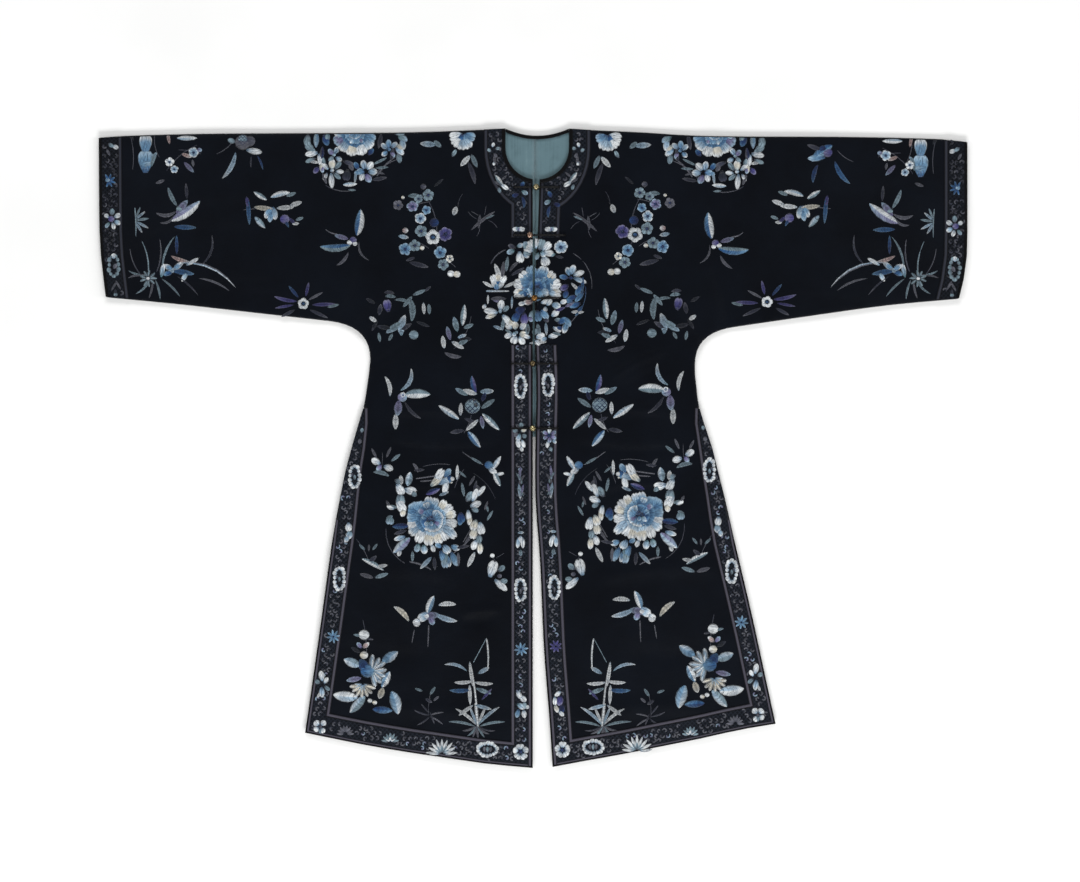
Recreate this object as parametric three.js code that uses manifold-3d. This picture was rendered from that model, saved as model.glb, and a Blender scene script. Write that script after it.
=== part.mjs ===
// A woman's embroidered silk jacket (a long surcoat), laid flat on its back on the plane z = 0.
// Millimetres, +Z up. The front faces up, the neck is towards +Y and the cuffs lie along X. "Left" is
// towards -X. A "reach" is a distance from the line x = 0, to the left or to the right.
//
// Each half of the jacket is one length of satin, front, sleeve and back in one, folded over at the
// shoulder. The lining lies on the back half. The bands, trims and bindings lie on the front.

import * as THREE from 'three';
import { mergeVertices } from 'three/addons/utils/BufferGeometryUtils.js';
import Module from 'manifold-3d';

const wasm = await Module();
wasm.setup();

// ---------------------------------------------------------------- driving dimensions

const clearance = 0.3; // between pieces that are sewn or lie together
const satinWall = 1.2;
const liningWall = 1.0;
const stripWall = 1.0; // bands, trims and bindings
const strapWall = 1.4;

// Heights of the layers above the surface, from the bottom up.
const liningBase = satinWall + clearance;
const frontBase = liningBase + liningWall + clearance;
const frontTop = frontBase + satinWall;
const stripBase = frontTop + clearance;
const strapBase = stripBase + stripWall + clearance;

// The folded shoulder and sleeve top: its height at each reach, from the cuff in.
const shoulderFold = [
  { reach: 724, left: 517, right: 510 },
  { reach: 680, left: 520, right: 514.5 },
  { reach: 545, left: 523.5, right: 518 },
  { reach: 280, left: 525, right: 520 },
  { reach: 180, left: 526.5, right: 526 },
  { reach: 90, left: 530, right: 530 },
  { reach: 46, left: 532, right: 533 },
];

// The end of the sleeve: its reach at each height, from the fold down.
const sleeveEnd = [
  { height: 520, left: 723.5, right: 724.5 },
  { height: 350, left: 722, right: 724.5 },
  { height: 310, left: 719, right: 723 },
  { height: 280, left: 715.4, right: 718.3 },
  { height: 248, left: 711.5, right: 710.5 },
];

// The underside of the sleeve: its height at each reach, from the cuff in to the underarm.
const sleeveUnderside = [
  { reach: 720, left: 251.5, right: 249 },
  { reach: 590, left: 239, right: 237 },
  { reach: 456, left: 224, right: 218.5 },
  { reach: 339, left: 211, right: 201.5 },
];

// The curve of the underarm runs from the last row above to the side seam.
const underarm = [
  { point: 'bend', left: [271, 203], right: [270.6, 193] },
  { point: 'seam', left: [271, 147], right: [270.6, 139] },
];

// The side of the skirt: its reach at each height. Near the top of the side vent the border is turned
// under by the amount in the last column.
const skirtSide = [
  { height: 147, left: 271, right: 270.5, under: 37 },
  { height: 110, left: 275, right: 271.5, under: 37 },
  { height: 64, left: 283, right: 278.5, under: 28.3 },
  { height: 30, left: 293.5, right: 289, under: 18 },
  { height: -3, left: 302.7, right: 300, under: 13 },
  { height: -53, left: 315.6, right: 312.2, under: 8 },
  { height: -86, left: 321.6, right: 320.7, under: 5 },
  { height: -153, left: 333.9, right: 335.9, under: 0 },
  { height: -287, left: 352.6, right: 367.2, under: 0 },
  { height: -420, left: 371.5, right: 396, under: 0 },
  { height: -480, left: 380.3, right: 409.3, under: 0 },
];

// The hem: its height at each reach, from the centre out.
const hemLine = [
  { reach: 0, left: -534, right: -538 },
  { reach: 35, left: -531, right: -532 },
  { reach: 80, left: -526.5, right: -523.5 },
  { reach: 145, left: -517, right: -512 },
  { reach: 210, left: -507.5, right: -499 },
  { reach: 280, left: -495.5, right: -485 },
  { reach: 345, left: -482.5, right: -470.5 },
  { reach: 410, left: -469, right: -459.5 },
];

// The front edge: its reach at each height. The left one is straight and the right one swings away.
const frontEdge = [
  { height: 450, left: 0, right: 11.5 },
  { height: 350, left: 0, right: 8 },
  { height: 290, left: 0, right: 4 },
  { height: 180, left: 0, right: 3.5 },
  { height: 100, left: 0, right: 6 },
  { height: 20, left: 0, right: 4.5 },
  { height: -86, left: 0, right: 4.5 },
  { height: -187, left: 0, right: 12 },
  { height: -337, left: 0, right: 18.7 },
  { height: -454, left: 0, right: 27.9 },
  { height: -540, left: 0, right: 33.5 },
];

// The neck: straight sides down to neckHeight, then a half circle. The collar's outer side is half an
// ellipse round the same centre. The back neckline dips below the fold.
const neckCentre = 7.5;
const neckHeight = 500;
const neckRadius = 53;
const neckPoint = 532;
const backNeckDip = 12;
const neckBindingWidth = 6;
const collarHalfWidth = 89;
const collarDepth = 110;

// Vents and seams.
const sideVentTop = 67;
const centreVentTop = 18;
const centreSeam = 3.5; // the x of the centre back seam, which the front opening shows
const tuckedBack = 3; // how far the back and its lining stay hidden behind the front's edges
const liningReach = 255; // where the lining's upper edge ends, short of the sleeve
const liningNotch = 12; // how far its corner there lies above the foot of the underarm's curve
const liningNeckGap = 1; // how far its upper edge stops short of the neck

// Where the borders stop above and start again below the roundel on the chest.
const collarFoot = 350;
const skirtBorderTop = 172;

// Borders, as distances from the finished edge to each side of the strip.
const frontStrips = { binding: [0, 2.2], edgeTrim: [2.5, 7.2], band: [7.5, 29.5], trim: [29.8, 36.5] };
const hemStrips = { binding: [0, 2.0], edgeTrim: [2.4, 5.6], band: [6, 34], trim: [34.4, 41] };
const sideStrips = { binding: [0, 2.0], edgeTrim: [2.3, 6.3], band: [6.6, 30.2], trim: [30.5, 37] };
const cuffStrips = { binding: [0, 4.5], band: [4.8, 31.8], trim: [32.1, 38.6] };
const collarTrimWidth = 6.7;
const cuffMargin = 1; // the cuff's strips stop this short of the fold and of the underarm seam

// Closures, from the neck down: a ball button in the loop of the right strap.
const closures = [
  { x: 5.8, height: 434, leftEnd: -33, rightEnd: 46 },
  { x: -4.7, height: 354, leftEnd: -34, rightEnd: 56 },
  { x: 2.8, height: 249, leftEnd: -30, rightEnd: 48 },
  { x: 0, height: 140, leftEnd: -38, rightEnd: 44 },
  { x: 0, height: 32, leftEnd: -38, rightEnd: 44 },
];
const ballRadius = 5.2;
const loopInner = 4;
const loopOuter = 5.4;
const strapWidth = 3.5;
const pegRadius = 1.2;

const leastStripWidth = 1.6; // a side strip starts where this much of it shows beside the vent

// How finely curves are divided.
const rowSpacing = 40; // the longest straight step along a curved edge
const nearStep = 0.02; // a multiple this close to an end, as a share of the spacing, is left out
const ringStep = Math.PI / 22; // round the neck and the collar
const necklineSpacing = 8; // along the back neckline
const bindingSpacing = 9; // along the binding on it
const underarmSteps = 9;
const loopSteps = 8;
const ballSteps = { around: 14, down: 8 };
const pegSides = 10;
const cornerTurns = 12; // enough turns for two edges' corner to settle
const weldDistance = 1e-4;

// ---------------------------------------------------------------- materials

function clothMaterial(color, roughness) {
  return new THREE.MeshStandardMaterial({ color, roughness, metalness: 0 });
}

const satin = clothMaterial(0x0c0d13, 0.42);
const liningSilk = clothMaterial(0x5f8186, 0.5);
const bandSilk = clothMaterial(0x1a1c28, 0.55);
const trimWeave = clothMaterial(0x5c5866, 0.65);
const bindingSatin = clothMaterial(0x08080d, 0.4);
const strapSatin = clothMaterial(0x0a0a10, 0.45);
const brass = new THREE.MeshStandardMaterial({ color: 0xa98550, roughness: 0.35, metalness: 1 });

// ---------------------------------------------------------------- curves and outlines

// A smooth curve through a table's rows: one column as a function of another.
function curveOf(rows, along, column) {
  const knots = [...rows].sort((a, b) => a[along] - b[along]);
  const last = knots.length - 1;
  const slopes = knots.map((row, i) => {
    const before = knots[Math.max(i - 1, 0)];
    const after = knots[Math.min(i + 1, last)];
    return (after[column] - before[column]) / (after[along] - before[along]);
  });
  return (place) => {
    const next = knots.findIndex((row) => row[along] > place);
    const i = next < 0 ? last - 1 : Math.max(next - 1, 0);
    const span = knots[i + 1][along] - knots[i][along];
    const t = (place - knots[i][along]) / span;
    const rise = knots[i + 1][column] - knots[i][column];
    const ease = t * t * (3 - 2 * t);
    const lean = slopes[i] * t * (1 - t) ** 2 - slopes[i + 1] * t * t * (1 - t);
    return knots[i][column] + rise * ease + span * lean;
  };
}

// Every edge of one side of the jacket, as functions of reach or of height.
function edgesOf(side) {
  return {
    side,
    sign: side === 'left' ? -1 : 1,
    fold: curveOf(shoulderFold, 'reach', side),
    sleeve: curveOf(sleeveEnd, 'height', side),
    underside: curveOf(sleeveUnderside, 'reach', side),
    skirt: curveOf(skirtSide, 'height', side),
    under: curveOf(skirtSide, 'height', 'under'),
    hem: curveOf(hemLine, 'reach', side),
    front: curveOf(frontEdge, 'height', side),
  };
}

// Values from start to end, both included, with the multiples of the spacing between them. Strips that
// lie side by side so bend at the same places.
function steps(start, end, spacing = rowSpacing) {
  const low = Math.min(start, end);
  const high = Math.max(start, end);
  const inner = [];
  const first = Math.ceil(low / spacing + nearStep);
  for (let i = first; i < high / spacing - nearStep; i++) inner.push(i * spacing);
  return [start, ...(end > start ? inner : inner.reverse()), end];
}

// Points [reach, height] up or down an upright edge, and along a level one.
function upright(edge, start, end) {
  return steps(start, end).map((height) => [edge(height), height]);
}

function level(edge, start, end) {
  return steps(start, end).map((reach) => [reach, edge(reach)]);
}

// Where an upright edge meets a level one.
function corner(uprightEdge, levelEdge) {
  let height = levelEdge(0);
  for (let turn = 0; turn < cornerTurns; turn++) height = levelEdge(uprightEdge(height));
  return { reach: uprightEdge(height), height };
}

// The edges of the borders' strips, at a distance from the finished edge.
function fromFront(edges, distance) {
  return (height) => edges.front(height) + distance;
}

function fromHem(edges, distance) {
  return (reach) => edges.hem(reach) + distance;
}

function fromSide(edges, distance) {
  return (height) => edges.skirt(height) - Math.max(0, distance - Math.max(0, edges.under(height)));
}

function fromSleeve(edges, distance) {
  return (height) => edges.sleeve(height) - distance;
}

// The neck circle or a collar ellipse of one side, from a height or a reach.
function neckOffset(edges) {
  return -edges.sign * neckCentre;
}

function ringReach(edges, halfWidth, depth, height) {
  const drop = Math.min(1, Math.max(0, (neckHeight - height) / depth));
  return halfWidth * Math.sqrt(1 - drop * drop) - neckOffset(edges);
}

function ringHeight(edges, halfWidth, depth, reach) {
  const across = Math.min(1, Math.abs(reach + neckOffset(edges)) / halfWidth);
  return neckHeight - depth * Math.sqrt(1 - across * across);
}

// Points round a ring from the shoulder fold down to where it meets an upright edge.
function ringDown(edges, halfWidth, depth, uprightEdge) {
  const foot = corner(uprightEdge, (reach) => ringHeight(edges, halfWidth, depth, reach));
  const ends = [0, Math.asin((neckHeight - foot.height) / depth)];
  const arc = steps(ends[0], ends[1], ringStep).map((angle) => [
    halfWidth * Math.cos(angle) - neckOffset(edges),
    neckHeight - depth * Math.sin(angle),
  ]);
  arc[arc.length - 1] = [foot.reach, foot.height];
  const top = halfWidth - neckOffset(edges);
  return [[top, edges.fold(top)], ...arc];
}

// The underarm's curve, from the sleeve's underside to the side seam.
function underarmCurve(edges) {
  const start = sleeveUnderside[sleeveUnderside.length - 1];
  const [bend, seam] = underarm.map((row) => row[edges.side]);
  const curve = new THREE.QuadraticBezierCurve(
    new THREE.Vector2(start.reach, start[edges.side]),
    new THREE.Vector2(...bend),
    new THREE.Vector2(...seam),
  );
  return curve.getPoints(underarmSteps).map((point) => [point.x, point.y]);
}

// The sewn edge from the foot of the sleeve's end round the underarm to a height on the side seam.
function sewnEdge(edges, foot) {
  const cuffCorner = corner(edges.sleeve, edges.underside);
  const curve = underarmCurve(edges);
  return [
    ...level(edges.underside, cuffCorner.reach, curve[0][0]).slice(0, -1),
    ...curve,
    ...upright(edges.skirt, curve[curve.length - 1][1], foot).slice(1),
  ];
}

// The folded edge, from the neck out to the cuff.
function foldedEdge(edges) {
  const start = neckRadius - neckOffset(edges);
  const end = corner(edges.sleeve, edges.fold);
  return level(edges.fold, start, end.reach);
}

// A strip between two lists of points that run the same way.
function between(first, second) {
  return [...first, ...[...second].reverse()];
}

// Points moved inwards, to the left of the way they run on the right half of the jacket.
function insetPoints(points, distance) {
  return points.map((point, i) => {
    const before = points[Math.max(i - 1, 0)];
    const after = points[Math.min(i + 1, points.length - 1)];
    const run = new THREE.Vector2(after[0] - before[0], after[1] - before[1]).normalize();
    return [point[0] - run.y * distance, point[1] + run.x * distance];
  });
}

// ---------------------------------------------------------------- solids

// A flat piece of cloth with the given outline, lying at a height.
function slab(edges, outline, base, wall) {
  const corners = outline.map(([reach, height]) => new THREE.Vector2(edges.sign * reach, height));
  const shape = new THREE.Shape(corners);
  const geometry = new THREE.ExtrudeGeometry(shape, { depth: wall, bevelEnabled: false });
  return geometry.translate(0, 0, base);
}

function solidOf(geometry) {
  const bare = geometry.clone();
  bare.deleteAttribute('normal');
  bare.deleteAttribute('uv');
  const merged = mergeVertices(bare, weldDistance);
  const triVerts = new Uint32Array(merged.index.array);
  const vertProperties = merged.attributes.position.array;
  return new wasm.Manifold(new wasm.Mesh({ numProp: 3, vertProperties, triVerts }));
}

function joined(geometries) {
  const solid = geometries.map(solidOf).reduce((sum, one) => sum.add(one));
  const mesh = solid.getMesh();
  const geometry = new THREE.BufferGeometry();
  geometry.setAttribute('position', new THREE.BufferAttribute(mesh.vertProperties, 3));
  geometry.setIndex(new THREE.BufferAttribute(mesh.triVerts, 1));
  geometry.computeVertexNormals();
  return geometry;
}

const garment = new THREE.Group();

function addPiece(name, geometry, material) {
  const mesh = new THREE.Mesh(geometry, material);
  mesh.name = name;
  garment.add(mesh);
}

// ---------------------------------------------------------------- the body of the jacket

function frontOutline(edges) {
  const hemCorner = corner(edges.skirt, edges.hem);
  const frontCorner = corner(edges.front, edges.hem);
  const neck = ringDown(edges, neckRadius, neckRadius, edges.front);
  const neckFoot = neck[neck.length - 1][1];
  const cuffCorner = corner(edges.sleeve, edges.underside);
  const cuffTop = corner(edges.sleeve, edges.fold);
  return [
    ...upright(edges.front, neckFoot, frontCorner.height).slice(0, -1),
    ...level(edges.hem, frontCorner.reach, hemCorner.reach).slice(0, -1),
    ...upright(edges.skirt, hemCorner.height, sideVentTop).slice(0, -1),
    ...[...sewnEdge(edges, sideVentTop)].reverse().slice(0, -1),
    ...upright(edges.sleeve, cuffCorner.height, cuffTop.height).slice(0, -1),
    ...[...foldedEdge(edges)].reverse().slice(0, -1),
    ...neck.slice(0, -1),
  ];
}

// The back neckline of one side, from the neck point in to the centre seam.
function backNeckline(edges) {
  const seamReach = edges.sign * centreSeam + clearance / 2;
  const start = neckRadius - neckOffset(edges);
  return steps(start, seamReach, necklineSpacing).map((reach) => {
    const across = (reach + neckOffset(edges)) / neckRadius;
    const dip = backNeckDip * (1 - across * across);
    return [reach, edges.fold(start) - dip];
  });
}

// The free edges of the back half, tucked in behind the front's edges by a distance.
function backSkirt(edges, tuck) {
  const vent = fromFront(edges, tuck);
  const side = (height) => edges.skirt(height) - tuck;
  const hem = fromHem(edges, tuck);
  const ventCorner = corner(vent, hem);
  const sideCorner = corner(side, hem);
  return [
    ...upright(vent, centreVentTop, ventCorner.height).slice(0, -1),
    ...level(hem, ventCorner.reach, sideCorner.reach).slice(0, -1),
    ...upright(side, sideCorner.height, sideVentTop - tuck),
  ];
}

function backOutline(edges) {
  const cuffCorner = corner(edges.sleeve, edges.underside);
  const cuffTop = corner(edges.sleeve, edges.fold);
  const neckline = backNeckline(edges);
  const seamReach = neckline[neckline.length - 1][0];
  return [
    ...neckline,
    [seamReach, centreVentTop],
    ...backSkirt(edges, tuckedBack),
    ...[...sewnEdge(edges, sideVentTop)].reverse().slice(0, -1),
    ...upright(edges.sleeve, cuffCorner.height, cuffTop.height).slice(0, -1),
    ...[...foldedEdge(edges)].reverse().slice(0, -1),
  ];
}

// Front and back layers, joined by the fold along the top and by the underarm and side seam.
function bodyHalf(edges) {
  const seam = sewnEdge(edges, sideVentTop);
  const fold = foldedEdge(edges);
  return joined([
    slab(edges, frontOutline(edges), frontBase, satinWall),
    slab(edges, backOutline(edges), 0, satinWall),
    slab(edges, between(fold, insetPoints(fold, -satinWall)), 0, frontTop),
    slab(edges, between(seam, insetPoints(seam, -satinWall)), 0, frontTop),
  ]);
}

// The lining of the back half, clear of the fold and of the side seam.
function liningOutline(edges) {
  const neckline = backNeckline(edges);
  const seamReach = neckline[neckline.length - 1][0];
  const start = neckline[0][0];
  const belowFold = (reach) => edges.fold(reach) - satinWall - 2 * clearance;
  const skirt = backSkirt(edges, 2 * tuckedBack);
  const seamFoot = underarm[1][edges.side][1];
  return [
    ...neckline.slice(1),
    [seamReach, centreVentTop],
    ...skirt,
    ...upright((height) => edges.skirt(height) - 2 * tuckedBack, sideVentTop, seamFoot).slice(1),
    [liningReach, seamFoot + liningNotch],
    ...level(belowFold, liningReach, start + liningNeckGap),
  ];
}

// ---------------------------------------------------------------- borders

// A strip down the front edge to a level line above the hem.
function frontStrip(edges, [outer, inner], top, foot) {
  const outerEdge = fromFront(edges, outer);
  const innerEdge = fromFront(edges, inner);
  const floor = fromHem(edges, foot);
  return between(
    upright(outerEdge, top, corner(outerEdge, floor).height),
    upright(innerEdge, top, corner(innerEdge, floor).height),
  );
}

// The highest place on the side vent where enough of a strip isn't turned under.
function stripTop(edges, inner) {
  let height = sideVentTop;
  while (inner - edges.under(height) < leastStripWidth) height -= 1;
  return height;
}

// A strip along the hem from near the front edge, and then up the side vent. Its top is at a bend that
// its neighbour shares.
function hemAndSideStrip(edges, hemStrip, sideStrip, frontDistance) {
  const start = fromFront(edges, frontDistance);
  const top = Math.floor(stripTop(edges, sideStrip[1]) / rowSpacing) * rowSpacing;
  const path = (hemDistance, sideDistance) => {
    const hem = fromHem(edges, hemDistance);
    const side = fromSide(edges, sideDistance);
    const turn = corner(side, hem);
    return [
      ...level(hem, corner(start, hem).reach, turn.reach).slice(0, -1),
      ...upright(side, turn.height, top),
    ];
  };
  return between(path(hemStrip[0], sideStrip[0]), path(hemStrip[1], sideStrip[1]));
}

// The inner trim of the skirt, in one length down the front, along the hem and up the side vent.
function skirtTrim(edges) {
  const path = (frontDistance, hemDistance, sideDistance) => {
    const front = fromFront(edges, frontDistance);
    const hem = fromHem(edges, hemDistance);
    const side = fromSide(edges, sideDistance);
    const frontTurn = corner(front, hem);
    const sideTurn = corner(side, hem);
    return [
      ...upright(front, skirtBorderTop, frontTurn.height).slice(0, -1),
      ...level(hem, frontTurn.reach, sideTurn.reach).slice(0, -1),
      ...upright(side, sideTurn.height, sideVentTop - clearance),
    ];
  };
  const outer = path(frontStrips.trim[0], hemStrips.trim[0], sideStrips.trim[0]);
  const inner = path(frontStrips.trim[1], hemStrips.trim[1], sideStrips.trim[1]);
  return between(outer, inner);
}

function sideBand(edges) {
  const [outer, inner] = sideStrips.band;
  const top = stripTop(edges, inner);
  const floor = fromHem(edges, hemStrips.band[0]);
  const path = (distance) => {
    const side = fromSide(edges, distance);
    return upright(side, top, corner(side, floor).height);
  };
  return between(path(outer), path(inner));
}

function hemBand(edges) {
  const start = fromFront(edges, frontStrips.band[1] + clearance);
  const end = fromSide(edges, sideStrips.band[1] + clearance);
  const path = (distance) => {
    const hem = fromHem(edges, distance);
    return level(hem, corner(start, hem).reach, corner(end, hem).reach);
  };
  return between(path(hemStrips.band[0]), path(hemStrips.band[1]));
}

function cuffStrip(edges, [outer, inner]) {
  const path = (distance) => {
    const line = fromSleeve(edges, distance);
    const top = corner(line, (reach) => edges.fold(reach) - cuffMargin);
    const foot = corner(line, (reach) => edges.underside(reach) + cuffMargin);
    return upright(line, top.height, foot.height);
  };
  return between(path(outer), path(inner));
}

// The collar band: round the neck from the fold, then down the front edge to the roundel.
function collarBand(edges) {
  const inside = neckRadius + neckBindingWidth + clearance;
  const [outer, inner] = frontStrips.band;
  const nearEdge = fromFront(edges, outer);
  const farEdge = fromFront(edges, inner);
  const inward = collarTrimWidth + clearance;
  const nearRing = ringDown(edges, inside, inside, nearEdge);
  const farRing = ringDown(edges, collarHalfWidth - inward, collarDepth - inward, farEdge);
  const lastHeight = (ring) => ring[ring.length - 1][1];
  return between(
    [...nearRing, ...upright(nearEdge, lastHeight(nearRing), collarFoot).slice(1)],
    [...farRing, ...upright(farEdge, lastHeight(farRing), collarFoot).slice(1)],
  );
}

function collarTrim(edges) {
  const [outer, inner] = frontStrips.trim;
  const path = (inward, distance) => {
    const line = fromFront(edges, distance);
    const ring = ringDown(edges, collarHalfWidth - inward, collarDepth - inward, line);
    return [...ring, ...upright(line, ring[ring.length - 1][1], collarFoot).slice(1)];
  };
  return between(path(collarTrimWidth, outer), path(0, inner));
}

// The binding round the front of the neck, on the panel's edge.
function neckBinding(edges) {
  const outside = neckRadius + neckBindingWidth;
  return between(
    ringDown(edges, neckRadius, neckRadius, edges.front),
    ringDown(edges, outside, outside, edges.front),
  );
}

// The strips on the front edge start below the neck binding.
function belowNeckBinding(edges, strip) {
  const outside = neckRadius + neckBindingWidth + clearance;
  const far = ringDown(edges, outside, outside, fromFront(edges, strip[0]));
  return far[far.length - 1][1] - clearance;
}

// The binding across the back neckline, on the lining.
function backNeckBinding() {
  const half = neckRadius - clearance;
  const curve = (drop) =>
    steps(-half, half, bindingSpacing).map((across) => {
      const dip = backNeckDip * (1 - (across / neckRadius) ** 2);
      return [neckCentre + across, neckPoint - dip - drop];
    });
  return between(curve(0), curve(neckBindingWidth));
}

// ---------------------------------------------------------------- closures

function extrudedAt(shape, closure) {
  const settings = { depth: strapWall, bevelEnabled: false, curveSegments: loopSteps };
  return new THREE.ExtrudeGeometry(shape, settings).translate(closure.x, closure.height, strapBase);
}

// The right strap ends in a loop round the ball.
function loopStrap(closure) {
  const half = strapWidth / 2;
  const end = closure.rightEnd - closure.x - half;
  const contact = Math.asin(half / loopOuter);
  const shape = new THREE.Shape();
  shape.absarc(0, 0, loopOuter, contact, 2 * Math.PI - contact, false);
  shape.lineTo(end, -half);
  shape.absarc(end, 0, half, -Math.PI / 2, Math.PI / 2, false);
  shape.holes.push(new THREE.Path().absarc(0, 0, loopInner, 0, 2 * Math.PI, true));
  return extrudedAt(shape, closure);
}

function plainStrap(closure) {
  const half = strapWidth / 2;
  const start = -loopOuter - clearance;
  const end = closure.leftEnd - closure.x + half;
  const shape = new THREE.Shape();
  shape.moveTo(start, half);
  shape.lineTo(end, half);
  shape.absarc(end, 0, half, Math.PI / 2, (3 * Math.PI) / 2, false);
  shape.lineTo(start, -half);
  return extrudedAt(shape, closure);
}

// The ball rests in the loop, and its peg goes down through it.
function ballButton(closure) {
  const loopTop = strapBase + strapWall;
  const reach = ballRadius + clearance;
  const centre = loopTop + Math.sqrt(reach * reach - loopInner * loopInner);
  const pegLength = centre - strapBase;
  const ball = new THREE.SphereGeometry(ballRadius, ballSteps.around, ballSteps.down).rotateX(Math.PI / 2);
  const peg = new THREE.CylinderGeometry(pegRadius, pegRadius, pegLength, pegSides).rotateX(Math.PI / 2);
  ball.translate(0, 0, centre);
  peg.translate(0, 0, strapBase + pegLength / 2);
  return joined([ball, peg]).translate(closure.x, closure.height, 0);
}

// ---------------------------------------------------------------- assembly

for (const side of ['left', 'right']) {
  const edges = edgesOf(side);
  const strip = (outline) => slab(edges, outline, stripBase, stripWall);
  const edgeTop = belowNeckBinding(edges, frontStrips.edgeTrim);

  addPiece(`body_${side}`, bodyHalf(edges), satin);
  addPiece(`lining_${side}`, slab(edges, liningOutline(edges), liningBase, liningWall), liningSilk);

  addPiece(`collar_band_${side}`, strip(collarBand(edges)), bandSilk);
  addPiece(`collar_trim_${side}`, strip(collarTrim(edges)), trimWeave);
  const upperEdgeTrim = between(
    upright(fromFront(edges, frontStrips.edgeTrim[0]), edgeTop, collarFoot),
    upright(fromFront(edges, frontStrips.edgeTrim[1]), edgeTop, collarFoot),
  );
  addPiece(`collar_edge_trim_${side}`, strip(upperEdgeTrim), trimWeave);

  const frontBand = frontStrip(edges, frontStrips.band, skirtBorderTop, hemStrips.band[0]);
  addPiece(`front_band_${side}`, strip(frontBand), bandSilk);
  const lowerEdgeTrim = frontStrip(edges, frontStrips.edgeTrim, skirtBorderTop, hemStrips.edgeTrim[0]);
  addPiece(`front_edge_trim_${side}`, strip(lowerEdgeTrim), trimWeave);
  addPiece(`hem_band_${side}`, strip(hemBand(edges)), bandSilk);
  addPiece(`side_band_${side}`, strip(sideBand(edges)), bandSilk);
  addPiece(`skirt_trim_${side}`, strip(skirtTrim(edges)), trimWeave);
  const edgeTrimStart = frontStrips.edgeTrim[1] + clearance;
  const skirtEdgeTrim = hemAndSideStrip(edges, hemStrips.edgeTrim, sideStrips.edgeTrim, edgeTrimStart);
  addPiece(`skirt_edge_trim_${side}`, strip(skirtEdgeTrim), trimWeave);

  addPiece(`cuff_band_${side}`, strip(cuffStrip(edges, cuffStrips.band)), bandSilk);
  addPiece(`cuff_trim_${side}`, strip(cuffStrip(edges, cuffStrips.trim)), trimWeave);
  addPiece(`cuff_binding_${side}`, strip(cuffStrip(edges, cuffStrips.binding)), bindingSatin);

  addPiece(`neck_binding_${side}`, strip(neckBinding(edges)), bindingSatin);
  const bindingTop = belowNeckBinding(edges, frontStrips.binding);
  const frontBinding = frontStrip(edges, frontStrips.binding, bindingTop, 0);
  addPiece(`front_binding_${side}`, strip(frontBinding), bindingSatin);
  const bindingStart = frontStrips.binding[1] + clearance;
  const hemBinding = hemAndSideStrip(edges, hemStrips.binding, sideStrips.binding, bindingStart);
  addPiece(`hem_binding_${side}`, strip(hemBinding), bindingSatin);
}

const across = { sign: 1 };
addPiece('neck_binding_back', slab(across, backNeckBinding(), frontBase, stripWall), bindingSatin);

closures.forEach((closure, i) => {
  addPiece(`button_${i + 1}`, ballButton(closure), brass);
  addPiece(`strap_${i + 1}`, plainStrap(closure), strapSatin);
  addPiece(`loop_${i + 1}`, loopStrap(closure), strapSatin);
});

// The origin is at the middle of the jacket's box, on the surface.
const box = new THREE.Box3().setFromObject(garment);
const middle = box.getCenter(new THREE.Vector3());
garment.position.set(-middle.x, -middle.y, 0);

export default garment;
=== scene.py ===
"""The looks of a Chinese woman's embroidered silk jacket, laid flat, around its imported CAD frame.

Blender 4.5, metres, +Z up. The front faces up, the neck is towards +Y and the cuffs lie along X.
Tables of places and sizes are in millimetres, as a maker would write them. MM turns them into metres.
"""
import cmath
import math
import random

import bmesh
import bpy
import numpy as np
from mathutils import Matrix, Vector, geometry


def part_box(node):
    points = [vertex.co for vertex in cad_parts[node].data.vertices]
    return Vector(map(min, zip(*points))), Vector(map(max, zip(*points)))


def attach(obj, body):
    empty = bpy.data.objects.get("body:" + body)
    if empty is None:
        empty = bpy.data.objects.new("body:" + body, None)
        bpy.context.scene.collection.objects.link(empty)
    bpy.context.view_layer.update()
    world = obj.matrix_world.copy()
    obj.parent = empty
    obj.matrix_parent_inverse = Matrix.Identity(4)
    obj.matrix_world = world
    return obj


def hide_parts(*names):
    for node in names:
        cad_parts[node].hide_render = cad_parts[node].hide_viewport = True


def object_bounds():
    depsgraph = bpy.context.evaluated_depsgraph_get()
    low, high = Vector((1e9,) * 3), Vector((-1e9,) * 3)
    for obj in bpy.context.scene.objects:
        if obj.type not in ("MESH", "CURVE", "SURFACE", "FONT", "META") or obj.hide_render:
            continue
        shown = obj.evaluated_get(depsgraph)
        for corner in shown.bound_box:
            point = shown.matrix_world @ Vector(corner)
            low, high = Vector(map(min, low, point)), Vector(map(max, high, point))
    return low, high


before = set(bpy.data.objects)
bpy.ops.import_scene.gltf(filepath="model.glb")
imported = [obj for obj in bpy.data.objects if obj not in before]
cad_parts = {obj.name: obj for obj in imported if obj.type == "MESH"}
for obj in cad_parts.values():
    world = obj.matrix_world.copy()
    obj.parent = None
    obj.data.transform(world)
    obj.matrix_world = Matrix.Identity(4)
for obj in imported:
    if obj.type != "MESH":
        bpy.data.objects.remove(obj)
cad_low, cad_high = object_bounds()

MM = 0.001
SIDES = ("left", "right")
random.seed(7)

# ---------------------------------------------------------------- heights of the layers, from the frame

SATIN_WALL = 1.2 * MM  # the thickness of the front, and of the back, which lies on the floor
BACK_TOP = SATIN_WALL
LINING_BASE, LINING_TOP = (corner.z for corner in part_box("lining_left"))
FRONT_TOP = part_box("body_left")[1].z
BAND_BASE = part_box("front_band_left")[0].z
STRAP_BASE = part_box("strap_1")[0].z
SEAT = 0.22 * MM  # how far a sewn strip sinks towards the cloth under it

# ---------------------------------------------------------------- the lie of the cloth

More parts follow.
